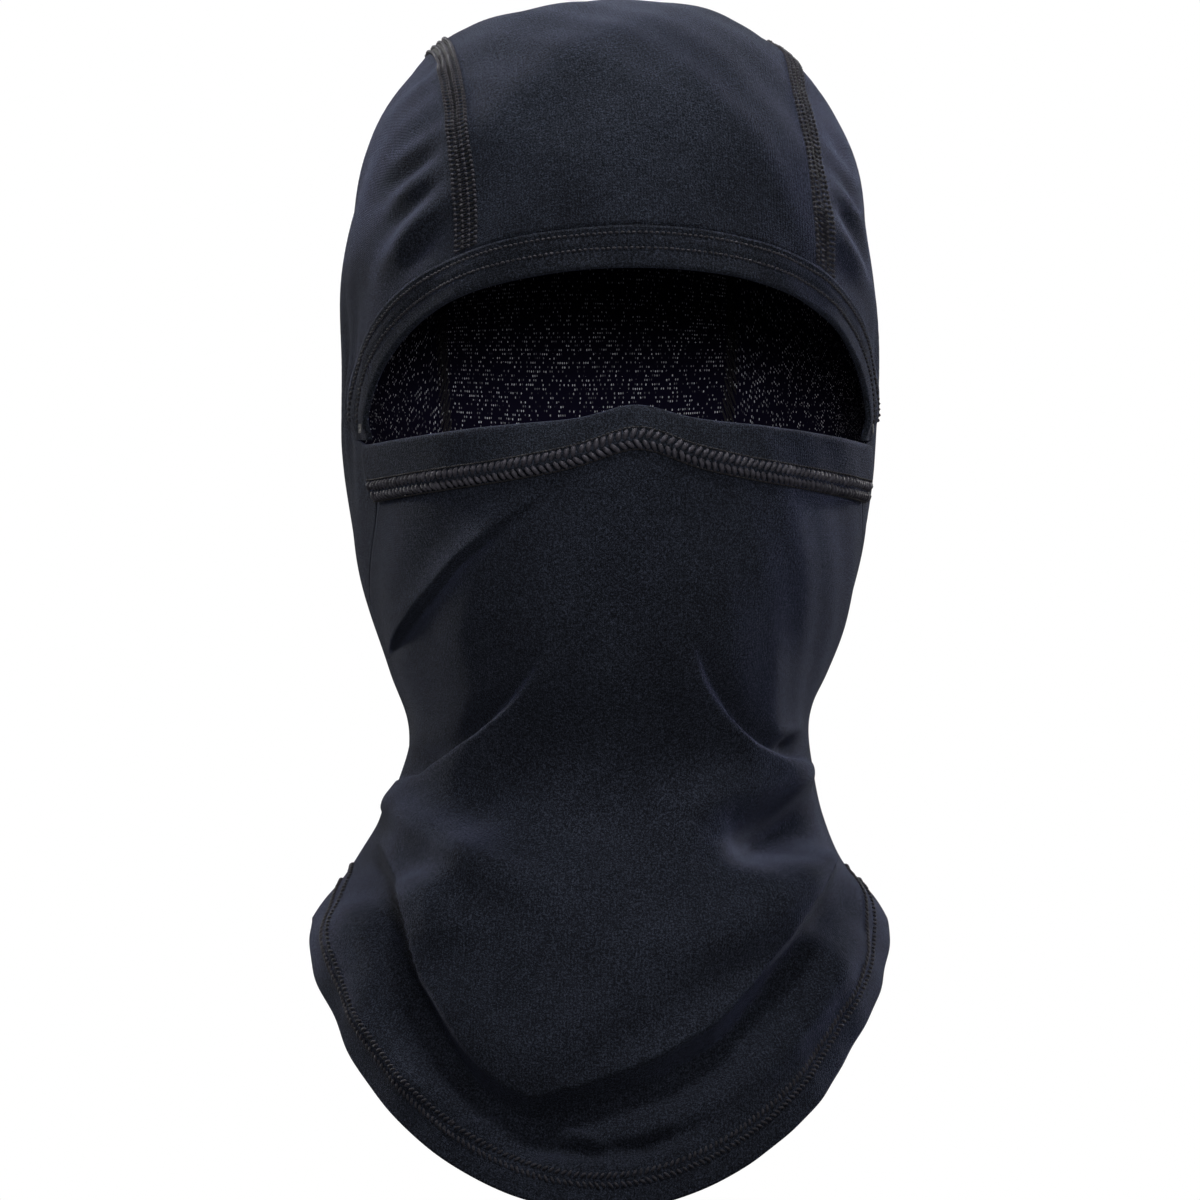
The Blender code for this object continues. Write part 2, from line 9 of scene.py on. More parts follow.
import bmesh
import bpy
import numpy as np
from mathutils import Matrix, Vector


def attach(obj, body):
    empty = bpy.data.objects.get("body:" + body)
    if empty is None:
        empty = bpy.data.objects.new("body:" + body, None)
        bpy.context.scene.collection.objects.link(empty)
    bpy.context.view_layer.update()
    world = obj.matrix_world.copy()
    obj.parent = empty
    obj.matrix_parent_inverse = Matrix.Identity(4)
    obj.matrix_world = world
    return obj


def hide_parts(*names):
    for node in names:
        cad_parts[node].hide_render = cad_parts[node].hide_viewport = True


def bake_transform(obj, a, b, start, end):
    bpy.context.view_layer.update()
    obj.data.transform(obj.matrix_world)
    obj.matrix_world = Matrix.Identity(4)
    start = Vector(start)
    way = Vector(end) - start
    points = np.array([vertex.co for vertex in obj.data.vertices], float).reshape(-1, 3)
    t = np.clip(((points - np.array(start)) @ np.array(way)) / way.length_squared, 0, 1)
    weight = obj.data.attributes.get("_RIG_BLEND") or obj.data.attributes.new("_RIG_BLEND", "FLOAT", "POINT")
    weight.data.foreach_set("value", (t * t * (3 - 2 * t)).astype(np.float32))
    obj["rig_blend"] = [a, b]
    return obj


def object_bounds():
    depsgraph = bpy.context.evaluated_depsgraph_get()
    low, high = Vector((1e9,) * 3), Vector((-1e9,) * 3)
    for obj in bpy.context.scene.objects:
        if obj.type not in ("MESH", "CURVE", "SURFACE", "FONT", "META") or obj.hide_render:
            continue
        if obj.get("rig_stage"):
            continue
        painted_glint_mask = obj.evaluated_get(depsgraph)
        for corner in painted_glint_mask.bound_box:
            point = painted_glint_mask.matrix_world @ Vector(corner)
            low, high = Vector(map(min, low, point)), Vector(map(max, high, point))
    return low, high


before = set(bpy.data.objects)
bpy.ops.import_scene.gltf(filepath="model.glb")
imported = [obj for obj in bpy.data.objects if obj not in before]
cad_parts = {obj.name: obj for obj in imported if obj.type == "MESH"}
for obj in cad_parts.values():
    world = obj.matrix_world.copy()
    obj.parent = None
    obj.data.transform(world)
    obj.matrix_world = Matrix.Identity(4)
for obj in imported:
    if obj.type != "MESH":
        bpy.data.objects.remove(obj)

LOG = logging.getLogger("balaclava")
HOOD = "hood"
MASK_EDGE = "mask_edge"

Array = np.ndarray


def smooth(t: Array) -> Array:
    """A step from 0 to 1 with level ends."""
    t = np.clip(t, 0.0, 1.0)
    return t * t * (3 - 2 * t)


# ---- the worn shape ---------------------------------------------------------------------------
@dataclass(frozen=True)
class Form:
    """The smooth surface that the garment takes on a head, and the lines that its pieces follow."""

    half_width: float = 0.0801
    front: float = 0.100
    back: float = 0.099
    ear_line: float = 0.003
    crown: float = 0.105
    squareness: float = 2.6
    nose_lift: float = 0.005
    nose_width: float = radians(13)
    nose_z: float = -0.030
    nose_height: float = 0.026
    face_angle: float = radians(69)
    corner_z: float = -0.0285
    arch_height: float = 0.0515
    band_width: float = 0.0124
    mask_rise: float = 0.0070
    mask_peak: float = 0.0040
    mask_peak_width: float = radians(9)
    hem_middle: float = 0.0100
    hem_end: float = 0.0140
    hem_widening: float = radians(20)
    hem_overhang: float = 0.012
    hem_sewn_end: float = 0.20
    pivot_clear: float = 0.0018
    pivot_arc: float = 1.06
    notch_from: float = radians(50)
    notch_to: float = radians(-55)
    seam_brow: float = 0.0540
    seam_top: float = 0.0505
    seam_back: float = 0.0450
    seam_nape: float = 0.0340
    seam_hem: float = 0.0440
    nape_z: float = -0.110
    corner_turn: float = 0.35
    side_top: float = radians(71)
    side_neck: float = radians(97)
    shoulder_z: float = -0.1705
    bib_front: float = 0.0840
    bib_back: float = 0.0600
    bib_front_bow: float = 1.5
    bib_back_bow: float = 1.7
    flank_hem: float = 0.50
    flank_width: float = radians(26)
    crown_skew: float = 0.0055
    twist: float = radians(-4.5)
    shoulder_shift: float = -0.0027
    roll_share: float = 0.56
    # height, half width, front, back
    sections: tuple[tuple[float, float, float, float], ...] = (
        (0.000, 0.0801, 0.1000, 0.0990),
        (-0.020, 0.0800, 0.1040, 0.0980),
        (-0.040, 0.0788, 0.1060, 0.0950),
        (-0.060, 0.0763, 0.1055, 0.0890),
        (-0.080, 0.0710, 0.1020, 0.0815),
        (-0.096, 0.0650, 0.0960, 0.0755),
        (-0.111, 0.0603, 0.0880, 0.0710),
        (-0.125, 0.0616, 0.0830, 0.0690),
        (-0.140, 0.0655, 0.0825, 0.0700),
        (-0.153, 0.0726, 0.0845, 0.0730),
        (-0.165, 0.0825, 0.0880, 0.0770),
        (-0.175, 0.0880, 0.0910, 0.0810),
        (-0.185, 0.0900, 0.0940, 0.0840),
        (-0.200, 0.0915, 0.0990, 0.0890),
        (-0.225, 0.0955, 0.1050, 0.0950),
        (-0.262, 0.0985, 0.1110, 0.1000),
    )

    def _station(self, z: Array, column: int) -> Array:
        """A size of the section at each height, on a smooth curve through the sections.

        Args:
            z: heights.
            column: which column of the sections to read.

        Returns:
            The size at each height.
        """
        rows = np.array(self.sections)[::-1]
        zs, vs = rows[:, 0], rows[:, column]
        slope = np.gradient(vs, zs)
        slope[-1] = 0.0
        z = np.clip(z, zs[0], zs[-1])
        i = np.clip(np.searchsorted(zs, z) - 1, 0, len(zs) - 2)
        h = zs[i + 1] - zs[i]
        t = (z - zs[i]) / h
        return (
            (1 + 2 * t) * (1 - t) ** 2 * vs[i]
            + t * (1 - t) ** 2 * h * slope[i]
            + t * t * (3 - 2 * t) * vs[i + 1]
            + t * t * (t - 1) * h * slope[i + 1]
        )

    def section(self, z: Array) -> tuple[Array, Array, Array]:
        """Half width, front and back at each height, measured from the ear line.

        Args:
            z: heights.

        Returns:
            Half widths, fronts and backs.
        """
        z = np.asarray(z, float)
        share = np.clip(z / self.crown, 0.0, 0.9999)
        fall = (1 - share**self.squareness) ** (1 / self.squareness)
        head = (self.half_width * fall, self.front * fall, self.back * fall)
        low = tuple(self._station(z, column) for column in (1, 2, 3))
        return tuple(np.where(z > 0, a, b) for a, b in zip(head, low, strict=True))

    def spot(self, turn: Array, z: Array) -> Array:
        """The point at each angle round the head, 0 at the face, and height.

        Args:
            turn: angles round the head, 0 at the face.
            z: heights.

        Returns:
            The points, with x, y and z last.
        """
        turn, z = np.broadcast_arrays(np.asarray(turn, float), np.asarray(z, float))
        half, front, back = self.section(z)
        depth = np.where(np.cos(turn) > 0, front, back)
        beside_nose = (turn / self.nose_width) ** 2
        over_nose = ((z - self.nose_z) / self.nose_height) ** 2
        nose = self.nose_lift * np.exp(-beside_nose - over_nose)
        y = self.ear_line - depth * np.cos(turn) - nose
        return np.stack([half * np.sin(turn), y, z], axis=-1)

    def level(self, p: Array) -> Array:
        """1 on the surface, less inside it and more outside.

        Args:
            p: points, with x, y and z last.

        Returns:
            The level of each point.
        """
        half, front, back = self.section(p[..., 2])
        depth = np.where(p[..., 1] < self.ear_line, front, back)
        return (p[..., 0] / half) ** 2 + ((p[..., 1] - self.ear_line) / depth) ** 2

    def outward(self, p: Array) -> Array:
        """The surface's outward direction at each point.

        Args:
            p: points, with x, y and z last.

        Returns:
            Unit directions.
        """
        q = p.copy()
        q[..., 2] = np.minimum(q[..., 2], self.crown * 0.9985)
        half, front, back = self.section(q[..., 2])
        depth = np.where(q[..., 1] < self.ear_line, front, back)
        e = 2e-5
        up, down = q.copy(), q.copy()
        up[..., 2] += e
        down[..., 2] -= e
        n = np.stack(
            [
                2 * q[..., 0] / half**2,
                2 * (q[..., 1] - self.ear_line) / depth**2,
                (self.level(up) - self.level(down)) / (2 * e),
            ],
            axis=-1,
        )
        return n / np.linalg.norm(n, axis=-1, keepdims=True)

    def turn_of(self, p: Array) -> Array:
        """The angle round the head of each point.

        Args:
            p: points, with x, y and z last.

        Returns:
            The angles.
        """
        half, front, back = self.section(p[..., 2])
        depth = np.where(p[..., 1] < self.ear_line, front, back)
        return np.arctan2(p[..., 0] / half, (self.ear_line - p[..., 1]) / depth)

    def hem_z(self, turn: Array) -> Array:
        """Height of the lower edge.

        Args:
            turn: angles round the head, 0 at the face.

        Returns:
            The heights.
        """
        c = np.cos(turn)
        ahead = self.bib_front * np.maximum(c, 0.0) ** self.bib_front_bow
        behind = self.bib_back * np.maximum(-c, 0.0) ** self.bib_back_bow
        return self.shoulder_z - ahead - behind

    def above_hem(self, turn: Array, above: Array | float) -> tuple[Array, Array]:
        """(turn, z) of the place a distance in from the lower edge, more at the flanks, square to it.

        Args:
            turn: angles round the head, 0 at the face.
            above: distances in from the lower edge.

        Returns:
            Angles and heights.
        """
        flank = np.exp(-(((np.abs(turn) - math.pi / 2) / self.flank_width) ** 2))
        above = above * (1 + self.flank_hem * flank)
        low = self.hem_z(turn)
        half, front, back = self.section(low)
        depth = np.where(np.cos(turn) > 0, front, back)
        reach = np.hypot(half * np.cos(turn), depth * np.sin(turn))
        e = 1e-3
        slope = (self.hem_z(turn + e) - self.hem_z(turn - e)) / (2 * e * reach)
        long = np.hypot(1.0, slope)
        return turn - above * slope / (long * reach), low + above / long

    def arch(self, t: Array, outset: Array | float = 0.0) -> tuple[Array, Array]:
        """(turn, z) on the face opening's arch, t from -1 to 1 between its corners.

        Args:
            t: places from -1 to 1 between the corners.
            outset: distances outside the arch.

        Returns:
            Angles and heights.
        """
        a = np.asarray(t) * math.pi / 2
        wide = self.face_angle + np.asarray(outset) / self.half_width
        return wide * np.sin(a), self.corner_z + (self.arch_height + outset) * np.cos(a)

    def mask_top(self, turn: Array) -> Array:
        """Height of the mask's upper edge.

        Args:
            turn: angles round the head, 0 at the face.

        Returns:
            The heights.
        """
        share = np.minimum(np.abs(turn) / self.face_angle, 1.0)
        peak = self.mask_peak * np.exp(-((turn / self.mask_peak_width) ** 2))
        return self.corner_z + self.mask_rise * np.cos(share * math.pi / 2) ** 1.3 + peak

    def mask_hem_depth(self, turn: Array) -> Array:
        """How deep the mask's hem is."""
        share = 1 - np.exp(-((turn / self.hem_widening) ** 2))
        return self.hem_middle + (self.hem_end - self.hem_middle) * share

    @property
    def pivot(self) -> tuple[float, float]:
        """(turn, z) of the line that the mask's edge turns about."""
        turn = self.face_angle - self.hem_end / 2 / self.half_width
        return turn, float(self.mask_top(turn) - self.mask_hem_depth(turn) / 2)

    def round_pivot(self, angle: Array | float) -> tuple[Array, Array]:
        """(turn, z) on the notch round the end of the mask's edge.

        Args:
            angle: angles round the pivot.

        Returns:
            Angles and heights.
        """
        pivot_turn, pivot_z = self.pivot
        reach = self.hem_end / 2 + self.pivot_clear
        turn = pivot_turn + reach * np.cos(angle) / (self.half_width * self.pivot_arc)
        return turn, pivot_z + reach * np.sin(angle)

    def side_line(self, z: Array) -> Array:
        """The side seam's angle at each height.

        Args:
            z: heights.

        Returns:
            The angles.
        """
        top_turn, top = self.round_pivot(self.notch_to)
        share = np.clip((top - z) / (top - self.shoulder_z), 0.0, 1.0)
        return self._side(z) + (top_turn - self._side(np.array(top))) * (1 - share) ** 6

    def _side(self, z: Array) -> Array:
        """The side seam's angle before it is led to the corner."""
        t = (self.pivot[1] - self.hem_end / 2 - z) / 0.060
        return self.side_top + (self.side_neck - self.side_top) * smooth(t)

    def _roll_spot(self, x: Array, roll: Array) -> Array:
        """The crown's point at x, rolled from the face (0) over the top to the back (pi).

        Args:
            x: places across.
            roll: angles rolled over the head from the face.

        Returns:
            The points.
        """
        lo, hi = np.zeros_like(x), np.full_like(x, 0.16)
        for _ in range(42):
            mid = (lo + hi) / 2
            p = self._rolled(x, roll, mid)
            inside = (p[..., 2] < self.crown * 0.9999) & (self.level(p) < 1)
            lo, hi = np.where(inside, mid, lo), np.where(inside, hi, mid)
        return self._rolled(x, roll, lo)

    def _rolled(self, x: Array, roll: Array, out: Array) -> Array:
        """A point a distance out from the line through the ears."""
        return np.stack([x, self.ear_line - out * np.cos(roll), out * np.sin(roll)], axis=-1)

    def _brow_roll(self, x: Array) -> Array:
        """Where on the roll the crown strip starts, above the brow band.

        Args:
            x: places across.

        Returns:
            The angles rolled.
        """
        lo, hi = np.zeros_like(x), np.ones_like(x)
        for _ in range(36):
            mid = (lo + hi) / 2
            short = self.spot(*self.arch(mid, self.band_width))[..., 0] < np.abs(x)
            lo, hi = np.where(short, mid, lo), np.where(short, hi, mid)
        p = self.spot(*self.arch(lo, self.band_width))
        return np.arctan2(p[..., 2], self.ear_line - p[..., 1])

    def _seam_x(self, share: Array) -> Array:
        """Half the crown strip's width from the brow to the back of the head.

        Args:
            share: places along, from 0 to 1.

        Returns:
            The half widths.
        """
        first = self.seam_brow + (self.seam_top - self.seam_brow) * smooth(share * 2)
        second = self.seam_top + (self.seam_back - self.seam_top) * smooth(share * 2 - 1)
        return np.where(share < 0.5, first, second)

    def _seam_x_below(self, z: Array, bottom: Array) -> Array:
        """Half the crown strip's width below the back of the head.

        Args:
            z: heights.
            bottom: the lower edge's heights.

        Returns:
            The half widths.
        """
        first = self.seam_back + (self.seam_nape - self.seam_back) * smooth(z / self.nape_z)
        t = np.clip((z - self.nape_z) / (bottom - self.nape_z), 0.0, 1.0)
        return np.where(z > self.nape_z, first, self.seam_nape + (self.seam_hem - self.seam_nape) * t * t)

    def crown_spot(self, across: Array, along: Array, inset: Array | float = 0.0) -> Array:
        """A point of the crown strip: across -1 to 1, along 0 at the brow to 1 at the hem.

        Args:
            across: places across, from -1 to 1.
            along: places along, from 0 to 1.
            inset: distances in from the strip's edges.

        Returns:
            The points.
        """
        across, along, inset = np.broadcast_arrays(
            np.asarray(across, float), np.asarray(along, float), np.asarray(inset, float)
        )
        share = np.clip(along / self.roll_share, 0.0, 1.0)
        x = across * (self._seam_x(share) - inset) + self.crown_skew * (1 - smooth(share / 0.42))
        start = self._brow_roll(x)
        upper = self._roll_spot(x, start + (math.pi - start) * share)
        low_share = np.clip((along - self.roll_share) / (1 - self.roll_share), 0.0, 1.0)
        end = self.hem_z(math.pi - self.corner_turn * np.abs(across))
        z = low_share * end
        turn = np.full_like(z, math.pi)
        for _ in range(6):
            x_low = across * (self._seam_x_below(z, end) - inset)
            angle = np.arcsin(np.clip(x_low / self.section(z)[0], -1, 1))
            turn = np.where(x_low >= 0, math.pi - angle, -math.pi - angle)
            z = low_share * self.hem_z(turn)
        return np.where((along <= self.roll_share)[..., None], upper, self.spot(turn, z))


FORM = Form()


# ---- folds ------------------------------------------------------------------------------------
Line = tuple[tuple[float, float], ...]


def beside(line: Line, x: Array, z: Array) -> tuple[Array, Array]:
    """How far points lie beside a line.

    Args:
        line: the line's corners as (x, z).
        x: the points' places across.
        z: the points' heights.

    Returns:
        The distance, above 0 on the left of the way along the line, and the share of the way along.
    """
    corners = np.array(line)
    steps = np.linalg.norm(np.diff(corners, axis=0), axis=1)
    best = np.full(x.shape, 1e9)
    side, share = np.zeros(x.shape), np.zeros(x.shape)
    run = 0.0
    for start, end, step in zip(corners[:-1], corners[1:], steps, strict=True):
        way = (end - start) / step
        dx, dz = x - start[0], z - start[1]
        held = np.clip(dx * way[0] + dz * way[1], 0.0, step)
        far = np.hypot(dx - held * way[0], dz - held * way[1])
        near = far < best
        best = np.where(near, far, best)
        side = np.where(near, np.sign(way[0] * dz - way[1] * dx), side)
        share = np.where(near, (run + held) / steps.sum(), share)
        run += step
    return best * side, share


class FoldKind(Enum):
    """What a fold does to the cloth."""

    RIDGE = "ridge"
    VALLEY = "valley"
    LAP = "lap"


@dataclass(frozen=True)
class Fold:
    """One fold over the front: its line as (x, z) seen from ahead, its height and its width.

    A lap stands up on the left of its line's way and sinks on the right.
    """

    kind: FoldKind
    line: Line
    height: float
    width: float
    fade_in: float = 0.30
    fade_out: float = 0.30

    def lift(self, x: Array, z: Array) -> Array:
        """How far the fold lifts the cloth at each place.

        Args:
            x: places across.
            z: heights.

        Returns:
            The lifts.
        """
        d, share = beside(self.line, x, z)
        ends = smooth(share / self.fade_in) * smooth((1 - share) / self.fade_out)
        if self.kind is FoldKind.LAP:
            edge = 0.12 * self.width
            over = np.exp(-((d / self.width) ** 2))
            under = -np.exp(-((d / (self.width * 0.60)) ** 2))
            rise = smooth((d / edge + 1) / 2)
            return self.height * ends * (rise * over + (1 - rise) * under)
        sign = 1.0 if self.kind is FoldKind.RIDGE else -1.0
        return sign * self.height * ends * np.exp(-((d / self.width) ** 2))


FOLDS: tuple[Fold, ...] = (
    # the cheek's cloth lies over the mask from the jaw up to the nose
    Fold(
        FoldKind.LAP,
        (
            (-0.074, -0.104), (-0.065, -0.090), (-0.056, -0.076), (-0.045, -0.063), (-0.031, -0.052),
            (-0.014, -0.040),
        ),
        0.0017, 0.0048, 0.05, 0.45,
    ),
    # the neck's cloth lies over the jaw's, deepest at the sides
    Fold(
        FoldKind.LAP,
        (
            (-0.016, -0.085), (-0.024, -0.0985), (-0.030, -0.106), (-0.038, -0.1135), (-0.046, -0.120),
            (-0.054, -0.126), (-0.068, -0.131),
        ),
        0.0040, 0.0085, 0.60, 0.02,
    ),
    Fold(
        FoldKind.LAP,
        (
            (0.068, -0.1240), (0.054, -0.1222), (0.0493, -0.1214), (0.0416, -0.116), (0.0353, -0.109),
            (0.0291, -0.0996), (0.0225, -0.083),
        ),
        0.0038, 0.0080, 0.02, 0.60,
    ),
    Fold(
        FoldKind.VALLEY,
        ((-0.068, -0.117), (-0.059, -0.1225), (-0.050, -0.1240)),
        0.0045, 0.0045, 0.02, 0.5,
    ),
    Fold(
        FoldKind.VALLEY,
        ((0.068, -0.1165), (0.056, -0.1188), (0.049, -0.1200)),
        0.0046, 0.0036, 0.02, 0.4,
    ),
    Fold(
        FoldKind.RIDGE,
        ((0.068, -0.1115), (0.056, -0.1140), (0.047, -0.1160)),
        0.0020, 0.0024, 0.05, 0.5,
    ),
    # rolls of loose cloth at the neck
    Fold(
        FoldKind.RIDGE,
        (
            (0.070, -0.129), (0.050, -0.131), (0.034, -0.132), (0.022, -0.138), (0.018, -0.150),
            (0.012, -0.170),
        ),
        0.0048, 0.0078, 0.04, 0.45,
    ),
    Fold(
        FoldKind.VALLEY,
        ((0.076, -0.133), (0.063, -0.138), (0.051, -0.145), (0.040, -0.1495), (0.029, -0.155)),
        0.0105, 0.0066, 0.03, 0.45,
    ),
    Fold(
        FoldKind.RIDGE,
        ((0.070, -0.152), (0.056, -0.163), (0.042, -0.172), (0.020, -0.178), (-0.005, -0.180)),
        0.0046, 0.0085, 0.06, 0.50,
    ),
    Fold(
        FoldKind.VALLEY,
        (
            (0.058, -0.170), (0.042, -0.183), (0.026, -0.193), (0.010, -0.203), (-0.006, -0.213),
            (-0.024, -0.216),
        ),
        0.0026, 0.0065,
    ),
    Fold(
        FoldKind.RIDGE,
        ((-0.074, -0.134), (-0.060, -0.138), (-0.046, -0.146), (-0.030, -0.158), (-0.012, -0.168)),
        0.0062, 0.0072, 0.06, 0.50,
    ),
    Fold(
        FoldKind.VALLEY,
        ((-0.072, -0.150), (-0.058, -0.156), (-0.042, -0.161)),
        0.0020, 0.0050, 0.10, 0.50,
    ),
    Fold(
        FoldKind.RIDGE,
        ((-0.062, -0.160), (-0.050, -0.166), (-0.040, -0.180)),
        0.0030, 0.0070,
    ),
    # the flanks and the foot of the bib
    Fold(
        FoldKind.RIDGE,
        ((0.078, -0.170), (0.067, -0.187), (0.055, -0.205), (0.036, -0.219), (0.014, -0.230)),
        0.0026, 0.0050,
    ),
    Fold(
        FoldKind.RIDGE,
        ((-0.080, -0.176), (-0.074, -0.198), (-0.060, -0.214), (-0.043, -0.225), (-0.026, -0.232)),
        0.0026, 0.0045,
    ),
    Fold(
        FoldKind.VALLEY,
        (
            (-0.034, -0.230), (-0.022, -0.2358), (-0.005, -0.2372), (0.0105, -0.2358), (0.023, -0.2317),
            (0.034, -0.226),
        ),
        0.0040, 0.0030,
    ),
)


@dataclass(frozen=True)
class Fall:
    """The neck's loose cloth, which falls over the chest and ends in a point above the hem."""

    left: Line = (
        (-0.0660, -0.1330), (-0.0700, -0.1480), (-0.0640, -0.1580), (-0.0605, -0.1666), (-0.0580, -0.1760),
        (-0.0560, -0.1860), (-0.0494, -0.1978), (-0.0440, -0.2070), (-0.0383, -0.2150), (-0.0310, -0.2210),
        (-0.0230, -0.2245),
    )
    right: Line = (
        (0.0670, -0.1400), (0.0665, -0.1510), (0.0618, -0.1618), (0.0530, -0.1755), (0.0441, -0.1889),
        (0.0308, -0.2033), (0.0130, -0.2134), (-0.0049, -0.2200), (-0.0160, -0.2230), (-0.0230, -0.2245),
    )
    height: float = 0.0080
    lip: float = 0.0058
    groove: float = 0.0055
    groove_place: float = -0.0055
    groove_width: float = 0.0080
    top_z: float = -0.136

    def lift(self, x: Array, z: Array) -> Array:
        """How far the fall lifts the cloth at each place.

        Args:
            x: places across.
            z: heights.

        Returns:
            The lifts.
        """
        left, _ = beside(self.left, x, z)
        right, _ = beside(self.right, x, z)
        inner = np.minimum(left, -right)
        foot = 0.30 + 0.70 * smooth((z + 0.236) / 0.030)
        tall = self.height * smooth((self.top_z - z) / 0.026) * foot
        round_lip = 1 - 0.25 * np.exp(-np.maximum(inner, 0.0) / 0.010)
        step = smooth((inner + self.lip * 0.6) / self.lip) * round_lip
        dip = np.exp(-(((inner - self.groove_place) / self.groove_width) ** 2)) * (inner < 0.002)
        return tall * step - self.groove * dip * smooth((-0.140 - z) / 0.030)


@dataclass(frozen=True)
class Drape:
    """Moves points of the smooth form to where the cloth lies, with its folds and small puckers."""

    form: Form
    folds: tuple[Fold, ...]
    fall: Fall

    def _ripple(self, p: Array) -> Array:
        """Slow unevenness, so that no panel is perfectly smooth.

        Args:
            p: points, with x, y and z last.

        Returns:
            The lifts.
        """
        x, y, z = p[..., 0], p[..., 1], p[..., 2]
        waves = (
            (0.00040, 95.0, 40.0, 120.0, 0.3),
            (0.00034, -60.0, 130.0, 75.0, 1.9),
            (0.00028, 150.0, -90.0, -140.0, 4.1),
            (0.00018, 260.0, 210.0, 180.0, 2.6),
        )
        return sum(h * np.sin(a * x + b * y + c * z + s) for h, a, b, c, s in waves)

    def _puckers(self, p: Array) -> Array:
        """Short gathers that run out from the crown seams, above the temples.

        Args:
            p: points, with x, y and z last.

        Returns:
            The lifts.
        """
        x, y, z = np.abs(p[..., 0]), p[..., 1], p[..., 2]
        middle = 0.0665 + 0.0035 * np.sign(p[..., 0]) - 0.010 * smooth((z - 0.05) / 0.05)
        near = np.exp(-(((x - middle) / 0.0065) ** 2)) * smooth((z - 0.008) / 0.02)
        ahead = smooth((-y - 0.005) / 0.03) * smooth((0.099 - z) / 0.02)
        run = 420.0 * z + 160.0 * y + 150.0 * x
        uneven = 0.6 + 0.4 * np.sin(70 * z + 60 * y + 2.0)
        return 0.0016 * near * ahead * uneven * np.sin(run + 1.6 * np.sin(85 * z + 1.0))

    def _strain(self, p: Array) -> Array:
        """Upright gathers beside the corners of the face opening.

        Args:
            p: points, with x, y and z last.

        Returns:
            The lifts.
        """
        turn = np.abs(self.form.turn_of(p))
        near = np.exp(-(((turn - radians(83)) / radians(9)) ** 2) - ((p[..., 2] + 0.012) / 0.024) ** 2)
        return 0.0009 * near * np.sin(50 * turn + 60 * p[..., 2])

    def _ahead_x(self, p: Array) -> Array:
        """Each point's place across, as the chest faces."""
        return p[..., 0] * math.cos(self.form.twist) + p[..., 1] * math.sin(self.form.twist)

    def lift(self, p: Array) -> Array:
        """How far each point stands off the smooth form.

        Args:
            p: points, with x, y and z last.

        Returns:
            The lifts.
        """
        way = np.array([-math.sin(self.form.twist), math.cos(self.form.twist)])
        facing = -(self.form.outward(p)[..., :2] @ way)
        ahead = smooth((facing - 0.06) / 0.34)
        x, z = self._ahead_x(self.turned(p)), p[..., 2]
        folds = sum(fold.lift(x, z) for fold in self.folds) + self.fall.lift(x, z)
        return self._ripple(p) + self._puckers(p) + self._strain(p) + folds * ahead

    def turned(self, p: Array) -> Array:
        """The shoulders' part of the cloth turned to face the chest's way, the head's part as it is.

        Args:
            p: points, with x, y and z last.

        Returns:
            The turned points.
        """
        share = smooth((-0.112 - p[..., 2]) / 0.045)
        c, s = np.cos(self.form.twist * share), np.sin(self.form.twist * share)
        x, y = p[..., 0] + self.form.shoulder_shift * share, p[..., 1]
        return np.stack([x * c - y * s, x * s + y * c, p[..., 2]], axis=-1)

    def place(self, p: Array, off: Array | float = 0.0) -> Array:
        """The cloth's point over each point of the form, off the surface by off."""
        n = self.form.outward(p)
        return self.turned(p + n * (self.lift(p) + off)[..., None])


DRAPE = Drape(FORM, FOLDS, Fall())


# ---- finishes ---------------------------------------------------------------------------------
Colour = tuple[float, float, float]


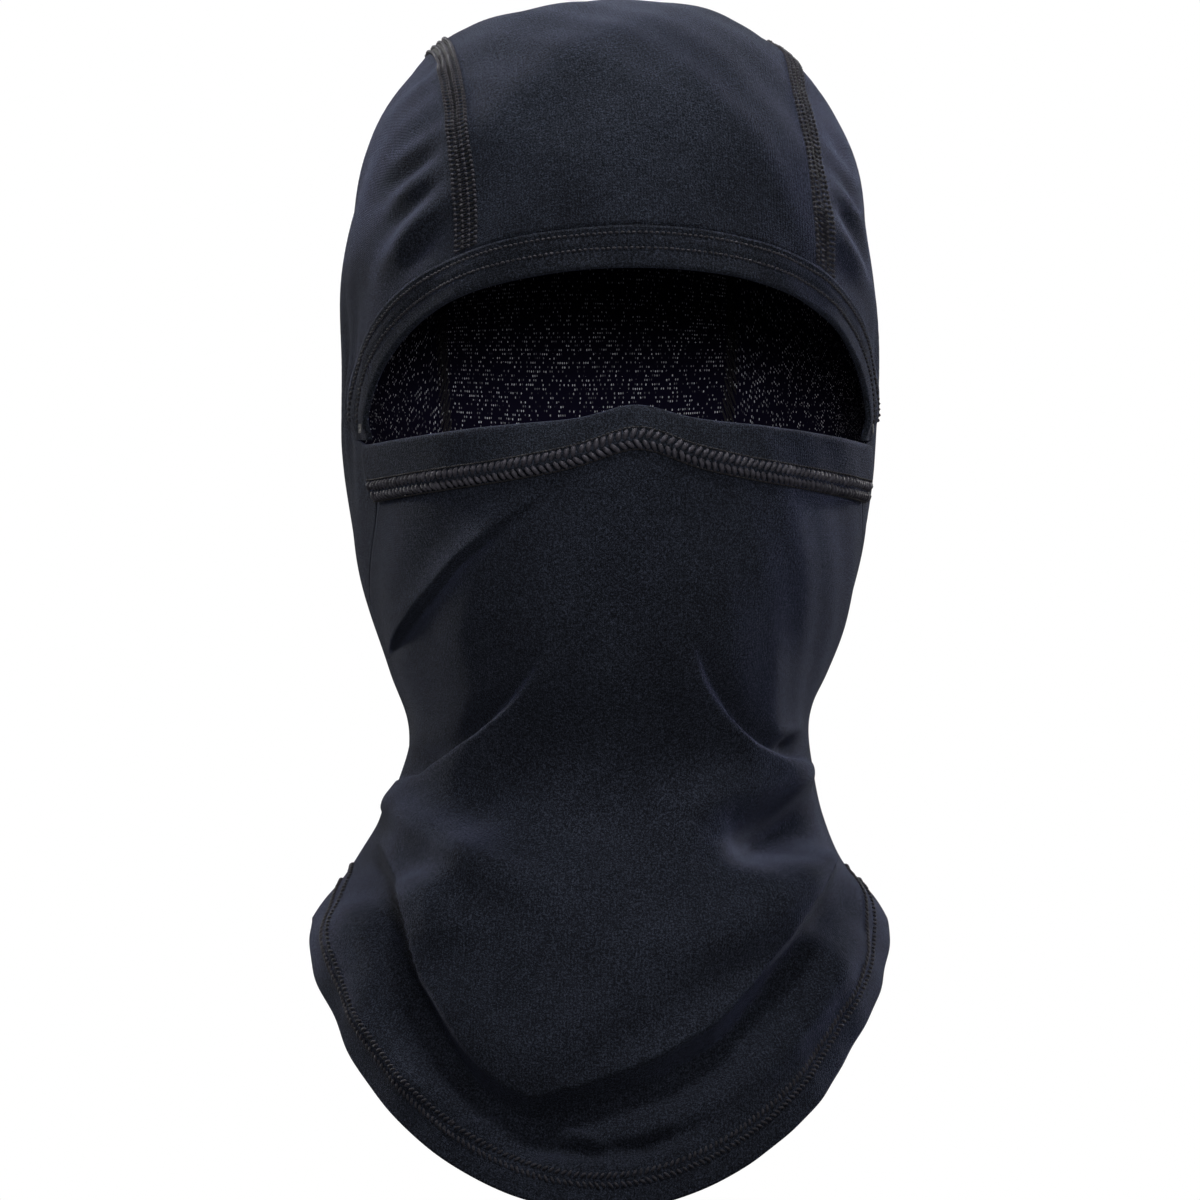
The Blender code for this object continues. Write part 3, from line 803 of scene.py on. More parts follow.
class Nodes:
    """A short hand for building a material's nodes."""

    def __init__(self, name: str) -> None:
        """Starts a material with a Principled shader.

        Args:
            name: the material's name.
        """
        self.material = bpy.data.materials.new(name)
        self.material.use_nodes = True
        self.tree = self.material.node_tree
        self.shader = self.tree.nodes["Principled BSDF"]

    def add(self, kind: str, **values: object) -> bpy.types.Node:
        """Adds a node and sets its properties.

        Args:
            kind: the node's type.
            values: properties to set on it.

        Returns:
            The node.
        """
        node = self.tree.nodes.new(kind)
        for key, value in values.items():
            setattr(node, key, value)
        return node

    def link(self, out: bpy.types.NodeSocket, into: bpy.types.NodeSocket) -> None:
        """Joins two sockets."""
        self.tree.links.new(out, into)

    def math(self, kind: str, a: object, b: object = 0.0) -> bpy.types.NodeSocket:
        """A Math node over sockets or numbers.

        Args:
            kind: the operation.
            a: the first socket or number.
            b: the second one.

        Returns:
            Its output.
        """
        node = self.add("ShaderNodeMath", operation=kind)
        for socket, value in zip(node.inputs, (a, b), strict=False):
            if isinstance(value, (int, float)):
                socket.default_value = value
            else:
                self.link(value, socket)
        return node.outputs[0]

    def ramp(
        self, factor: bpy.types.NodeSocket, stops: Sequence[tuple[float, Colour]]
    ) -> bpy.types.NodeSocket:
        """A colour ramp through (place, colour) stops.

        Args:
            factor: the socket that picks the place.
            stops: places and their colours.

        Returns:
            Its colour.
        """
        node = self.add("ShaderNodeValToRGB")
        bar = node.color_ramp.elements
        while len(bar) < len(stops):
            bar.new(0.5)
        for element, (place, colour) in zip(bar, stops, strict=True):
            element.position = place
            element.color = (*colour, 1.0)
        self.link(factor, node.inputs[0])
        return node.outputs[0]

    def noise(self, scale: float, detail: float = 3.0, roughness: float = 0.6) -> bpy.types.NodeSocket:
        """Noise over the object's own coordinates.

        Args:
            scale: its fineness, per metre.
            detail: how many octaves.
            roughness: how strong the fine ones are.

        Returns:
            Its output.
        """
        where = self.add("ShaderNodeTexCoord")
        node = self.add("ShaderNodeTexNoise")
        node.inputs["Scale"].default_value = scale
        node.inputs["Detail"].default_value = detail
        node.inputs["Roughness"].default_value = roughness
        self.link(where.outputs["Object"], node.inputs["Vector"])
        return node.outputs["Fac"]

    def bump(self, height: bpy.types.NodeSocket, distance: float, strength: float = 1.0) -> None:
        """Drives the shader's normal from a height.

        Args:
            height: the socket that gives the height.
            distance: the height in metres.
            strength: its share.
        """
        node = self.add("ShaderNodeBump")
        node.inputs["Strength"].default_value = strength
        node.inputs["Distance"].default_value = distance
        self.link(height, node.inputs["Height"])
        self.link(node.outputs["Normal"], self.shader.inputs["Normal"])


@dataclass(frozen=True)
class Jersey:
    """Fine wool jersey: heathered fibres over knit columns, with a soft haze."""

    name: str
    dark: Colour = (0.0022, 0.0028, 0.0046)
    middle: Colour = (0.0105, 0.0125, 0.0190)
    light: Colour = (0.0400, 0.0470, 0.0700)
    wale: float = 0.00090
    course: float = 0.00080
    haze: float = 0.22
    haze_tint: Colour = (0.48, 0.55, 1.00)

    def build(self) -> bpy.types.Material:
        """Makes the material.

        Returns:
            The material.
        """
        n = Nodes(self.name)
        uv = n.add("ShaderNodeUVMap", uv_map="cloth")
        split = n.add("ShaderNodeSeparateXYZ")
        n.link(uv.outputs[0], split.inputs[0])
        wobble = n.math("MULTIPLY", n.noise(420.0, 2.0), 1.6)
        across = n.math("ADD", n.math("MULTIPLY", split.outputs[0], 2 * math.pi / self.wale), wobble)
        along = n.math("ADD", n.math("MULTIPLY", split.outputs[1], 2 * math.pi / self.course), wobble)
        columns = n.math("ABSOLUTE", n.math("SINE", n.math("MULTIPLY", across, 0.5)))
        loops = n.math("MULTIPLY_ADD", n.math("SINE", along), 0.22)
        loops.node.inputs[2].default_value = 0.5
        knit = n.math("MULTIPLY", columns, loops)
        fibres = n.noise(3600.0, 2.0, 0.70)
        clumps = n.noise(1500.0, 2.0, 0.6)
        patches = n.noise(38.0, 3.0, 0.6)
        heather = n.math("ADD", n.math("MULTIPLY", fibres, 0.62), n.math("MULTIPLY", clumps, 0.38))
        shade = n.math("ADD", heather, n.math("MULTIPLY", n.math("SUBTRACT", patches, 0.5), 0.08))
        shade = n.math("ADD", shade, n.math("MULTIPLY", n.math("SUBTRACT", columns, 0.6), 0.025))
        stops = ((0.40, self.dark), (0.51, self.middle), (0.63, self.light))
        n.link(n.ramp(shade, stops), n.shader.inputs["Base Color"])
        n.shader.inputs["Roughness"].default_value = 0.95
        n.shader.inputs["Specular IOR Level"].default_value = 0.12
        n.shader.inputs["Sheen Weight"].default_value = self.haze
        n.shader.inputs["Sheen Roughness"].default_value = 0.16
        n.shader.inputs["Sheen Tint"].default_value = (*self.haze_tint, 1.0)
        height = n.math("ADD", n.math("MULTIPLY", knit, 0.20), n.math("MULTIPLY", heather, 1.0))
        n.bump(height, 0.00060, 0.85)
        return n.material


@dataclass(frozen=True)
class InnerJersey:
    """The inner face of the jersey: near black, with rows of painted glints, near-white dots in its colour
    that stand for light caught on the inner loops.
    """

    name: str
    ground: Colour = (0.0058, 0.0046, 0.0150)
    # painted glint: the near-white colour of dots that stand for points of light, not the cloth's own colour
    painted_glint: Colour = (0.90, 0.93, 1.00)
    across: float = 0.00085
    along: float = 0.00125

    def build(self) -> bpy.types.Material:
        """Makes the material.

        Returns:
            The material.
        """
        n = Nodes(self.name)
        uv = n.add("ShaderNodeUVMap", uv_map="cloth")
        stretch = n.add("ShaderNodeVectorMath", operation="MULTIPLY")
        stretch.inputs[1].default_value = (1 / self.across, 1 / self.along, 1.0)
        n.link(uv.outputs[0], stretch.inputs[0])
        place = n.add("ShaderNodeSeparateXYZ")
        n.link(stretch.outputs[0], place.inputs[0])
        shift = n.add("ShaderNodeTexWhiteNoise", noise_dimensions="1D")
        n.link(n.math("FLOOR", place.outputs[1]), shift.inputs["W"])
        moved = n.add("ShaderNodeCombineXYZ")
        n.link(n.math("ADD", place.outputs[0], shift.outputs["Value"]), moved.inputs[0])
        n.link(n.math("ADD", place.outputs[1], 0.5), moved.inputs[1])
        cells = n.add("ShaderNodeTexVoronoi", voronoi_dimensions="2D")
        cells.inputs["Scale"].default_value = 1.0
        cells.inputs["Randomness"].default_value = 0.12
        n.link(moved.outputs[0], cells.inputs["Vector"])
        dot = n.math("LESS_THAN", cells.outputs["Distance"], 0.24)
        pick = n.add("ShaderNodeSeparateXYZ")
        n.link(cells.outputs["Color"], pick.inputs[0])
        rows = n.add("ShaderNodeVectorMath", operation="MULTIPLY")
        rows.inputs[1].default_value = (22.0, 330.0, 1.0)
        n.link(uv.outputs[0], rows.inputs[0])
        streaks = n.add("ShaderNodeTexNoise")
        streaks.inputs["Scale"].default_value = 1.0
        streaks.inputs["Detail"].default_value = 2.0
        n.link(rows.outputs[0], streaks.inputs["Vector"])
        streaky = n.math("MULTIPLY", streaks.outputs["Fac"], 0.75)
        patchy = n.math("MULTIPLY", n.noise(26.0, 2.0), 0.45)
        odds = n.math("ADD", streaky, patchy)
        chosen = n.math("GREATER_THAN", n.math("ADD", pick.outputs[0], odds), 1.20)
        painted_glint_mask = n.math("MULTIPLY", dot, chosen)
        # painted glints: the chosen dots get a near-white base colour as painted highlights
        painted_glint_tone = n.math("MULTIPLY", painted_glint_mask, n.math("POWER", pick.outputs[1], 1.2))
        n.link(n.ramp(painted_glint_tone, ((0.0, self.ground), (1.0, self.painted_glint))), n.shader.inputs["Base Color"])
        n.shader.inputs["Roughness"].default_value = 1.0
        n.shader.inputs["Specular IOR Level"].default_value = 0.05
        n.bump(n.noise(1500.0), 0.0003, 0.6)
        return n.material


@dataclass(frozen=True)
class SewingThread:
    """Spun sewing thread: warm dark brown, with a twist and a faint gloss."""

    name: str
    dark: Colour = (0.0030, 0.0026, 0.0032)
    light: Colour = (0.0150, 0.0130, 0.0160)
    roughness: float = 0.62

    def build(self) -> bpy.types.Material:
        """Makes the material.

        Returns:
            The material.
        """
        n = Nodes(self.name)
        plies = n.math("MULTIPLY", n.noise(900.0, 3.0), 0.6)
        fibres = n.math("MULTIPLY", n.noise(5200.0, 2.0), 0.4)
        mix = n.math("ADD", plies, fibres)
        n.link(n.ramp(mix, ((0.38, self.dark), (0.66, self.light))), n.shader.inputs["Base Color"])
        n.shader.inputs["Roughness"].default_value = self.roughness
        n.shader.inputs["Specular IOR Level"].default_value = 0.30
        n.shader.inputs["Sheen Weight"].default_value = 0.05
        n.shader.inputs["Sheen Roughness"].default_value = 0.40
        n.shader.inputs["Sheen Tint"].default_value = (0.72, 0.72, 0.9, 1.0)
        n.bump(n.noise(4200.0, 2.0), 0.00025, 0.8)
        return n.material


@dataclass(frozen=True)
class Satin:
    """Blank black satin tape."""

    name: str
    dark: Colour = (0.010, 0.010, 0.011)
    light: Colour = (0.020, 0.020, 0.022)

    def build(self) -> bpy.types.Material:
        """Makes the material.

        Returns:
            The material.
        """
        n = Nodes(self.name)
        stops = ((0.3, self.dark), (0.7, self.light))
        n.link(n.ramp(n.noise(3000.0), stops), n.shader.inputs["Base Color"])
        n.shader.inputs["Roughness"].default_value = 0.42
        n.bump(n.noise(2400.0, 2.0), 0.0001, 0.5)
        return n.material


@dataclass(frozen=True)
class Finishes:
    """Every finish of the garment, made once."""

    outer: bpy.types.Material = field(default_factory=Jersey("jersey_outer").build)
    band: bpy.types.Material = field(
        default_factory=Jersey("jersey_band", middle=(0.0105, 0.0122, 0.0170), haze=0.17).build
    )
    inner: bpy.types.Material = field(default_factory=InnerJersey("jersey_inner").build)
    thread: bpy.types.Material = field(default_factory=SewingThread("sewing_thread").build)
    # cover_thread and seam_thread stand for one thread: the mask's copy is made lighter as painted light and
    # the crown seam's copy darker as painted shade, for how the lamps fall on each
    cover: bpy.types.Material = field(
        default_factory=SewingThread("cover_thread", (0.0130, 0.0120, 0.0162), (0.0560, 0.0525, 0.0690)).build
    )
    hem_thread: bpy.types.Material = field(
        default_factory=SewingThread("hem_thread", (0.0070, 0.0064, 0.0088), (0.0340, 0.0318, 0.0420)).build
    )
    # painted shade: this copy is darker because the crown seams sit under the light from above
    seam: bpy.types.Material = field(
        default_factory=SewingThread("seam_thread", (0.0084, 0.0077, 0.0104), (0.0440, 0.0410, 0.0540)).build
    )
    satin: bpy.types.Material = field(default_factory=Satin("label_satin").build)


# ---- making pieces ----------------------------------------------------------------------------
Chart = Callable[[Array, Array], Array]


def cloth_sheet(
    name: str, columns: int, rows: int, chart: Chart, size: tuple[float, float]
) -> bpy.types.Object:
    """A grid laid on a chart, with a UV map in metres of cloth.

    Args:
        name: the piece's name.
        columns: cells across.
        rows: cells along.
        chart: gives the points for u (across) and v (along), both from 0 to 1.
        size: the cloth's width and length before it is worn.

    Returns:
        The new object, one cloth layer with no thickness.
    """
    bm = bmesh.new()
    bmesh.ops.create_grid(bm, x_segments=columns, y_segments=rows, size=0.5)
    uv = bm.loops.layers.uv.new("cloth")
    spots = np.array([(v.co.x + 0.5, v.co.y + 0.5) for v in bm.verts])
    spots = np.clip(spots, 0.0, 1.0)
    for face in bm.faces:
        face.smooth = True
        for loop in face.loops:
            u, v = spots[loop.vert.index]
            loop[uv].uv = (u * size[0], v * size[1])
    points = chart(spots[:, 0], spots[:, 1])
    for vert, point in zip(bm.verts, points, strict=True):
        vert.co = point
    mesh = bpy.data.meshes.new(name)
    bm.to_mesh(mesh)
    bm.free()
    made = bpy.data.objects.new(name, mesh)
    bpy.context.scene.collection.objects.link(made)
    return made


def thicken(
    piece: bpy.types.Object, thickness: float, outer: bpy.types.Material, inner: bpy.types.Material
) -> None:
    """Gives a sheet its cloth: the outer finish outside, the inner one inside.

    Args:
        piece: the piece.
        thickness: the cloth's thickness.
        outer: the outer finish.
        inner: the inner finish.
    """
    piece.data.materials.append(outer)
    piece.data.materials.append(inner)
    wall = piece.modifiers.new("cloth", "SOLIDIFY")
    wall.thickness = thickness
    wall.offset = -1.0
    wall.use_even_offset = False
    wall.material_offset = 1
    wall.material_offset_rim = 0


def threads(
    name: str, paths: Iterable[Array], radius: float, finish: bpy.types.Material, plump: float = 0.55
) -> bpy.types.Object:
    """Short lengths of thread, each a tapered tube along its own path, joined in one mesh.

    Args:
        name: the piece's name.
        paths: one array of points for each stitch.
        radius: the thread's radius at the middle of a stitch.
        finish: its material.
        plump: the radius at a stitch's ends, as a share of the middle's.

    Returns:
        The new mesh object.
    """
    data = bpy.data.curves.new(name, "CURVE")
    data.dimensions = "3D"
    data.bevel_depth = radius
    data.bevel_resolution = 1
    data.use_fill_caps = True
    for path in paths:
        line = data.splines.new("POLY")
        line.points.add(len(path) - 1)
        middle = (len(path) - 1) / 2
        for i, point in enumerate(path):
            line.points[i].co = (*point, 1.0)
            away = abs(i - middle) / middle
            line.points[i].radius = 1 - (1 - plump) * away**2
    guide = bpy.data.objects.new(name + "_guide", data)
    bpy.context.scene.collection.objects.link(guide)
    bpy.context.view_layer.update()
    graph = bpy.context.evaluated_depsgraph_get()
    mesh = bpy.data.meshes.new_from_object(guide.evaluated_get(graph))
    bpy.data.objects.remove(guide)
    mesh.name = name
    mesh.shade_smooth()
    mesh.materials.clear()
    mesh.materials.append(finish)
    made = bpy.data.objects.new(name, mesh)
    bpy.context.scene.collection.objects.link(made)
    return made


def declare(piece: bpy.types.Object, body: str, slot: str, *nodes: str) -> None:
    """Rides a piece on its body and hides the nodes that it stands for.

    Args:
        piece: the piece.
        body: the body that it rides on.
        slot: its finish's slot; not used.
        nodes: the nodes that it stands for.
    """
    if "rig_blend" not in piece:
        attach(piece, body)
    if nodes:
        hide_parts(*nodes)
    LOG.info("%s: %d faces, on %s", piece.name, len(piece.data.polygons), body)


def end_hold(form: Form, turn: Array) -> Array:
    """1 along the mask's edge, falling to 0 at its ends, which are sewn to the hood."""
    return smooth((form.face_angle + form.hem_overhang - np.abs(turn)) / form.hem_sewn_end)


def hold_ends(form: Form, piece: bpy.types.Object) -> None:
    """Lets a piece of the mask's edge turn with it, while its ends stay with the hood.

    Args:
        form: the worn shape.
        piece: the piece.
    """
    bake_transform(piece, HOOD, MASK_EDGE, start=(0, 0, -0.050), end=(0, 0, -0.020))
    points = np.array([v.co for v in piece.data.vertices])
    share = end_hold(form, form.turn_of(points))
    piece.data.attributes["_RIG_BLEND"].data.foreach_set("value", share.astype(np.float32))


# ---- panels -----------------------------------------------------------------------------------
@dataclass(frozen=True)
class Panels:
    """The four cut panels of the hood, mask and bib."""

    form: Form
    drape: Drape
    finishes: Finishes
    cloth: float = 0.0009
    front_size: tuple[float, float] = (0.300, 0.235)
    crown_size: tuple[float, float] = (0.115, 0.480)
    side_size: tuple[float, float] = (0.150, 0.330)
    hem_lap: float = 0.0025
    bend_low: float = -0.135
    bend_high: float = -0.030
    band_lap: float = 0.001
    band_end: float = 0.361
    notch_end: float = 0.50
    calm_reach: float = 0.09

    def build(self) -> None:
        """Makes every panel."""
        self.front()
        self.crown()
        self.side("side_panel_left", -1)
        self.side("side_panel_right", 1)

    def _front_top(self, turn: Array) -> Array:
        """Height of the front panel's upper edge, which laps under the mask's hem."""
        inner = np.minimum(np.abs(turn), self.form.pivot[0])
        return self.form.mask_top(inner) - self.form.mask_hem_depth(inner) + self.hem_lap

    def front(self) -> None:
        """The front panel: mask, neck and bib in one piece."""

        def chart(u: Array, v: Array) -> Array:
            """The cloth's points.

            Args:
                u: places across, from 0 to 1.
                v: places along, from 0 to 1.

            Returns:
                The points.
            """
            spread = 2 * u - 1
            turn = spread * self.form.pivot[0]
            z = np.zeros_like(turn)
            for _ in range(5):
                low = self.form.hem_z(turn)
                z = low + (self._front_top(turn) - low) * v
                turn = spread * self.form.side_line(z)
            return self.drape.place(self.form.spot(turn, z))

        piece = cloth_sheet("front_panel", 216, 216, chart, self.front_size)
        thicken(piece, self.cloth, self.finishes.outer, self.finishes.inner)
        self._bend(piece)
        declare(piece, HOOD, "merino_jersey", "front_panel_mask", "front_panel_neck")

    def _bend(self, piece: bpy.types.Object) -> None:
        """Lets the mask part follow the mask's edge, while the side seams and the neck stay.

        Args:
            piece: the piece.
        """
        low = self.bend_low
        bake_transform(piece, HOOD, MASK_EDGE, start=(0, 0, low), end=(0, 0, self.bend_high))
        points = np.array([v.co for v in piece.data.vertices])
        turn = np.abs(self.form.turn_of(points))
        top = self._front_top(turn) - 0.004
        up = np.clip((points[:, 2] - low) / (top - low), 0.0, 1.0)
        room = smooth((self.form.side_line(points[:, 2]) - turn) / 0.55)
        share = smooth(up) * (room + (1 - room) * up**4)
        share = share * (1 - smooth(up) * (1 - end_hold(self.form, turn)))
        weights = piece.data.attributes["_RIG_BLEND"]
        weights.data.foreach_set("value", share.astype(np.float32))

    def crown(self) -> None:
        """The crown strip from the brow over the top to the nape's hem."""

        def chart(u: Array, v: Array) -> Array:
            """The cloth's points."""
            return self.drape.place(self.form.crown_spot(2 * u - 1, v))

        piece = cloth_sheet("crown_panel_cloth", 66, 260, chart, self.crown_size)
        thicken(piece, self.cloth, self.finishes.outer, self.finishes.inner)
        declare(piece, HOOD, "merino_jersey", "crown_panel")

    def _front_edge(self, v: Array, side: int) -> tuple[Array, Array]:
        """(turn, z) down a side panel's front edge.

        Args:
            v: places along, from 0 to 1.
            side: -1 for the left, 1 for the right.

        Returns:
            Angles and heights.
        """
        band, notch = self.band_end, self.notch_end
        first = self._brow_share(side)
        arch_share = first + (0.995 - first) * v / band
        arch_turn, arch_z = self.form.arch(arch_share, self.form.band_width - self.band_lap)
        share = np.clip((v - band) / (notch - band), 0.0, 1.0)
        angle = self.form.notch_from - (self.form.notch_from - self.form.notch_to) * share
        notch_turn, notch_z = self.form.round_pivot(angle)
        top = self.form.round_pivot(self.form.notch_to)[1]
        foot = self.form.hem_z(np.array(self.form.side_neck))
        seam_z = top + (foot - top) * np.clip((v - notch) / (1 - notch), 0.0, 1.0)
        seam_turn = self.form.side_line(seam_z)
        lead = smooth((v - band + 0.02) / 0.04)
        turn = np.where(v < notch, arch_turn * (1 - lead) + notch_turn * lead, seam_turn)
        z = np.where(v < notch, arch_z * (1 - lead) + notch_z * lead, seam_z)
        return turn, z

    def _brow_share(self, side: int) -> float:
        """The place on the arch where a side's crown seam meets the brow band.

        Args:
            side: -1 for the left, 1 for the right.

        Returns:
            The share of the arch.
        """
        seam_x = self.form.seam_brow + side * self.form.crown_skew
        lo, hi = 0.0, 1.0
        for _ in range(36):
            mid = (lo + hi) / 2
            p = self.form.spot(*self.form.arch(mid, self.form.band_width))
            lo, hi = (mid, hi) if p[0] < seam_x else (lo, mid)
        return lo

    def side(self, name: str, side: int) -> None:
        """A side panel, from the crown seam to the eye opening and the side seam.

        Args:
            name: the node's name.
            side: -1 for the left, 1 for the right.
        """

        def chart(u: Array, v: Array) -> Array:
            """The cloth's points.

            Args:
                u: places across, from 0 to 1.
                v: places along, from 0 to 1.

            Returns:
                The points.
            """
            u = 1 - u if side > 0 else u
            edge_turn, edge_z = self._front_edge(v, side)
            shifts = np.linspace(-self.calm_reach, self.calm_reach, 13)
            calm = [self._front_edge(np.clip(v + shift, 0.0, 1.0), side) for shift in shifts]
            front_turn, front_z = np.mean(calm, axis=0)
            seam = self.form.crown_spot(np.full_like(v, side), 0.004 + 0.996 * v)
            seam[..., 0] *= side
            seam_turn = self.form.turn_of(seam)
            seam_turn = np.where(seam_turn < 0, seam_turn + 2 * math.pi, seam_turn)
            seam_z = seam[..., 2]
            bow = np.sin(np.clip(v / 0.75, 0.0, 1.0) * math.pi) ** 0.8
            turn = front_turn + (seam_turn - front_turn) * u
            z = front_z + (seam_z - front_z) * u ** (1 + 1.3 * bow)
            hem = self.form.hem_z
            near = (1 - u) ** 5
            turn = turn + (edge_turn - front_turn) * near
            z = z + (edge_z - front_z) * near
            low = (np.maximum(v - 0.6, 0.0) / 0.4) ** 2
            z = z + low * (hem(turn) - hem(front_turn) - (hem(seam_turn) - hem(front_turn)) * u)
            p = self.form.spot(turn, z)
            p[..., 0] *= side
            return self.drape.place(p)

        piece = cloth_sheet(name + "_cloth", 84, 190, chart, self.side_size)
        thicken(piece, self.cloth, self.finishes.outer, self.finishes.inner)
        declare(piece, HOOD, "merino_jersey", name)


# ---- bands and hems ---------------------------------------------------------------------------
def band_tuck(t: Array) -> Array:
    """How far the brow band's ends sink behind the mask."""
    return smooth((np.abs(t) - 0.90) / 0.08) * 0.0016


@dataclass(frozen=True)
class Bands:
    """The folded brow band, the mask's hem and the turned-up lower hem."""

    form: Form
    drape: Drape
    finishes: Finishes
    cloth: float = 0.0006
    fold: float = 0.0010
    turn_up: float = 0.0118
    brow_rows: tuple[float, float] = (0.0103, 0.0058)
    flat_share: float = 0.44
    stand: float = 0.0008
    brow_size: tuple[float, float] = (0.230, 0.028)
    mask_size: tuple[float, float] = (0.225, 0.030)
    # the strip built for the lower hem is larger than the size that is declared for it
    lower_size: tuple[float, float] = (0.640, 0.0110)
    lower_map: tuple[float, float] = (0.640, 0.0102)

    def _folded(self, v: Array, depth: Array) -> tuple[Array, Array]:
        """Round a folded strip: (how far from the fold's edge, how far off the cloth).

        Args:
            v: places round the strip, from 0 to 1.
            depth: the folded strip's depth.

        Returns:
            Distances out and distances off.
        """
        flat = self.flat_share
        bend = np.clip((v - flat) / (1 - 2 * flat), 0.0, 1.0) * math.pi
        out = np.where(v < flat, 1 - v / flat, np.where(v > 1 - flat, (v - 1 + flat) / flat, 0.0))
        off = self.fold * np.cos(bend)
        return out * depth + self.fold * (1 - np.sin(bend)), off

    def build(self) -> None:
        """Makes every band."""
        self.brow()
        self.mask()
        self.lower()

    def brow(self) -> None:
        """The brow band, folded over the edge of the eye opening."""

        def chart(u: Array, v: Array) -> Array:
            """The cloth's points.

            Args:
                u: places across, from 0 to 1.
                v: places along, from 0 to 1.

            Returns:
                The points.
            """
            t = 0.985 * (2 * u - 1)
            out, off = self._folded(1 - v, np.full_like(v, self.form.band_width - self.fold))
            turn, z = self.form.arch(t, out)
            groove = sum(np.exp(-(((out - row) / 0.0009) ** 2)) for row in self.brow_rows)
            off = off - 0.00045 * groove * (v > 0.56)
            return self.drape.place(self.form.spot(turn, z), off + self.stand - band_tuck(t))

        piece = cloth_sheet("brow_band_cloth", 240, 30, chart, self.brow_size)
        thicken(piece, self.cloth, self.finishes.band, self.finishes.inner)
        declare(piece, HOOD, "folded_jersey", "brow_band")

    def mask(self) -> None:
        """The mask's hem, folded along the edge over the nose."""

        def chart(u: Array, v: Array) -> Array:
            """The cloth's points.

            Args:
                u: places across, from 0 to 1.
                v: places along, from 0 to 1.

            Returns:
                The points.
            """
            spread = 2 * u - 1
            turn = spread * (self.form.face_angle + self.form.hem_overhang)
            inner = np.clip(np.abs(turn), 0.0, self.form.face_angle)
            depth = self.form.mask_hem_depth(inner) + 0.0008
            out, off = self._folded(v, depth - self.fold)
            z = self.form.mask_top(inner) - out
            return self.drape.place(self.form.spot(turn, z), off + self.stand)

        piece = cloth_sheet("mask_hem_cloth", 220, 30, chart, self.mask_size)
        thicken(piece, self.cloth, self.finishes.band, self.finishes.inner)
        hold_ends(self.form, piece)
        declare(piece, MASK_EDGE, "folded_jersey", "mask_hem")

    def lower(self) -> None:
        """The turned-up layer inside the lower hem."""

        def chart(u: Array, v: Array) -> Array:
            """The cloth's points."""
            turn, z = self.form.above_hem(math.pi * (2 * u - 1), 0.0002 + self.turn_up * v)
            return self.drape.place(self.form.spot(turn, z), -0.0011)

        piece = cloth_sheet("neck_hem_turnup_cloth", 320, 5, chart, self.lower_map)
        thicken(piece, 0.0007, self.finishes.inner, self.finishes.outer)
        declare(piece, HOOD, "folded_jersey", "neck_hem_turnup")


# ---- stitches ---------------------------------------------------------------------------------
Course = Callable[[Array], Array]


@dataclass(frozen=True)
class Stitch:
    """The size of one kind of stitch along its row."""

    pitch: float
    length: float
    radius: float
    rise: float = 0.0004
    slant: float = 0.0


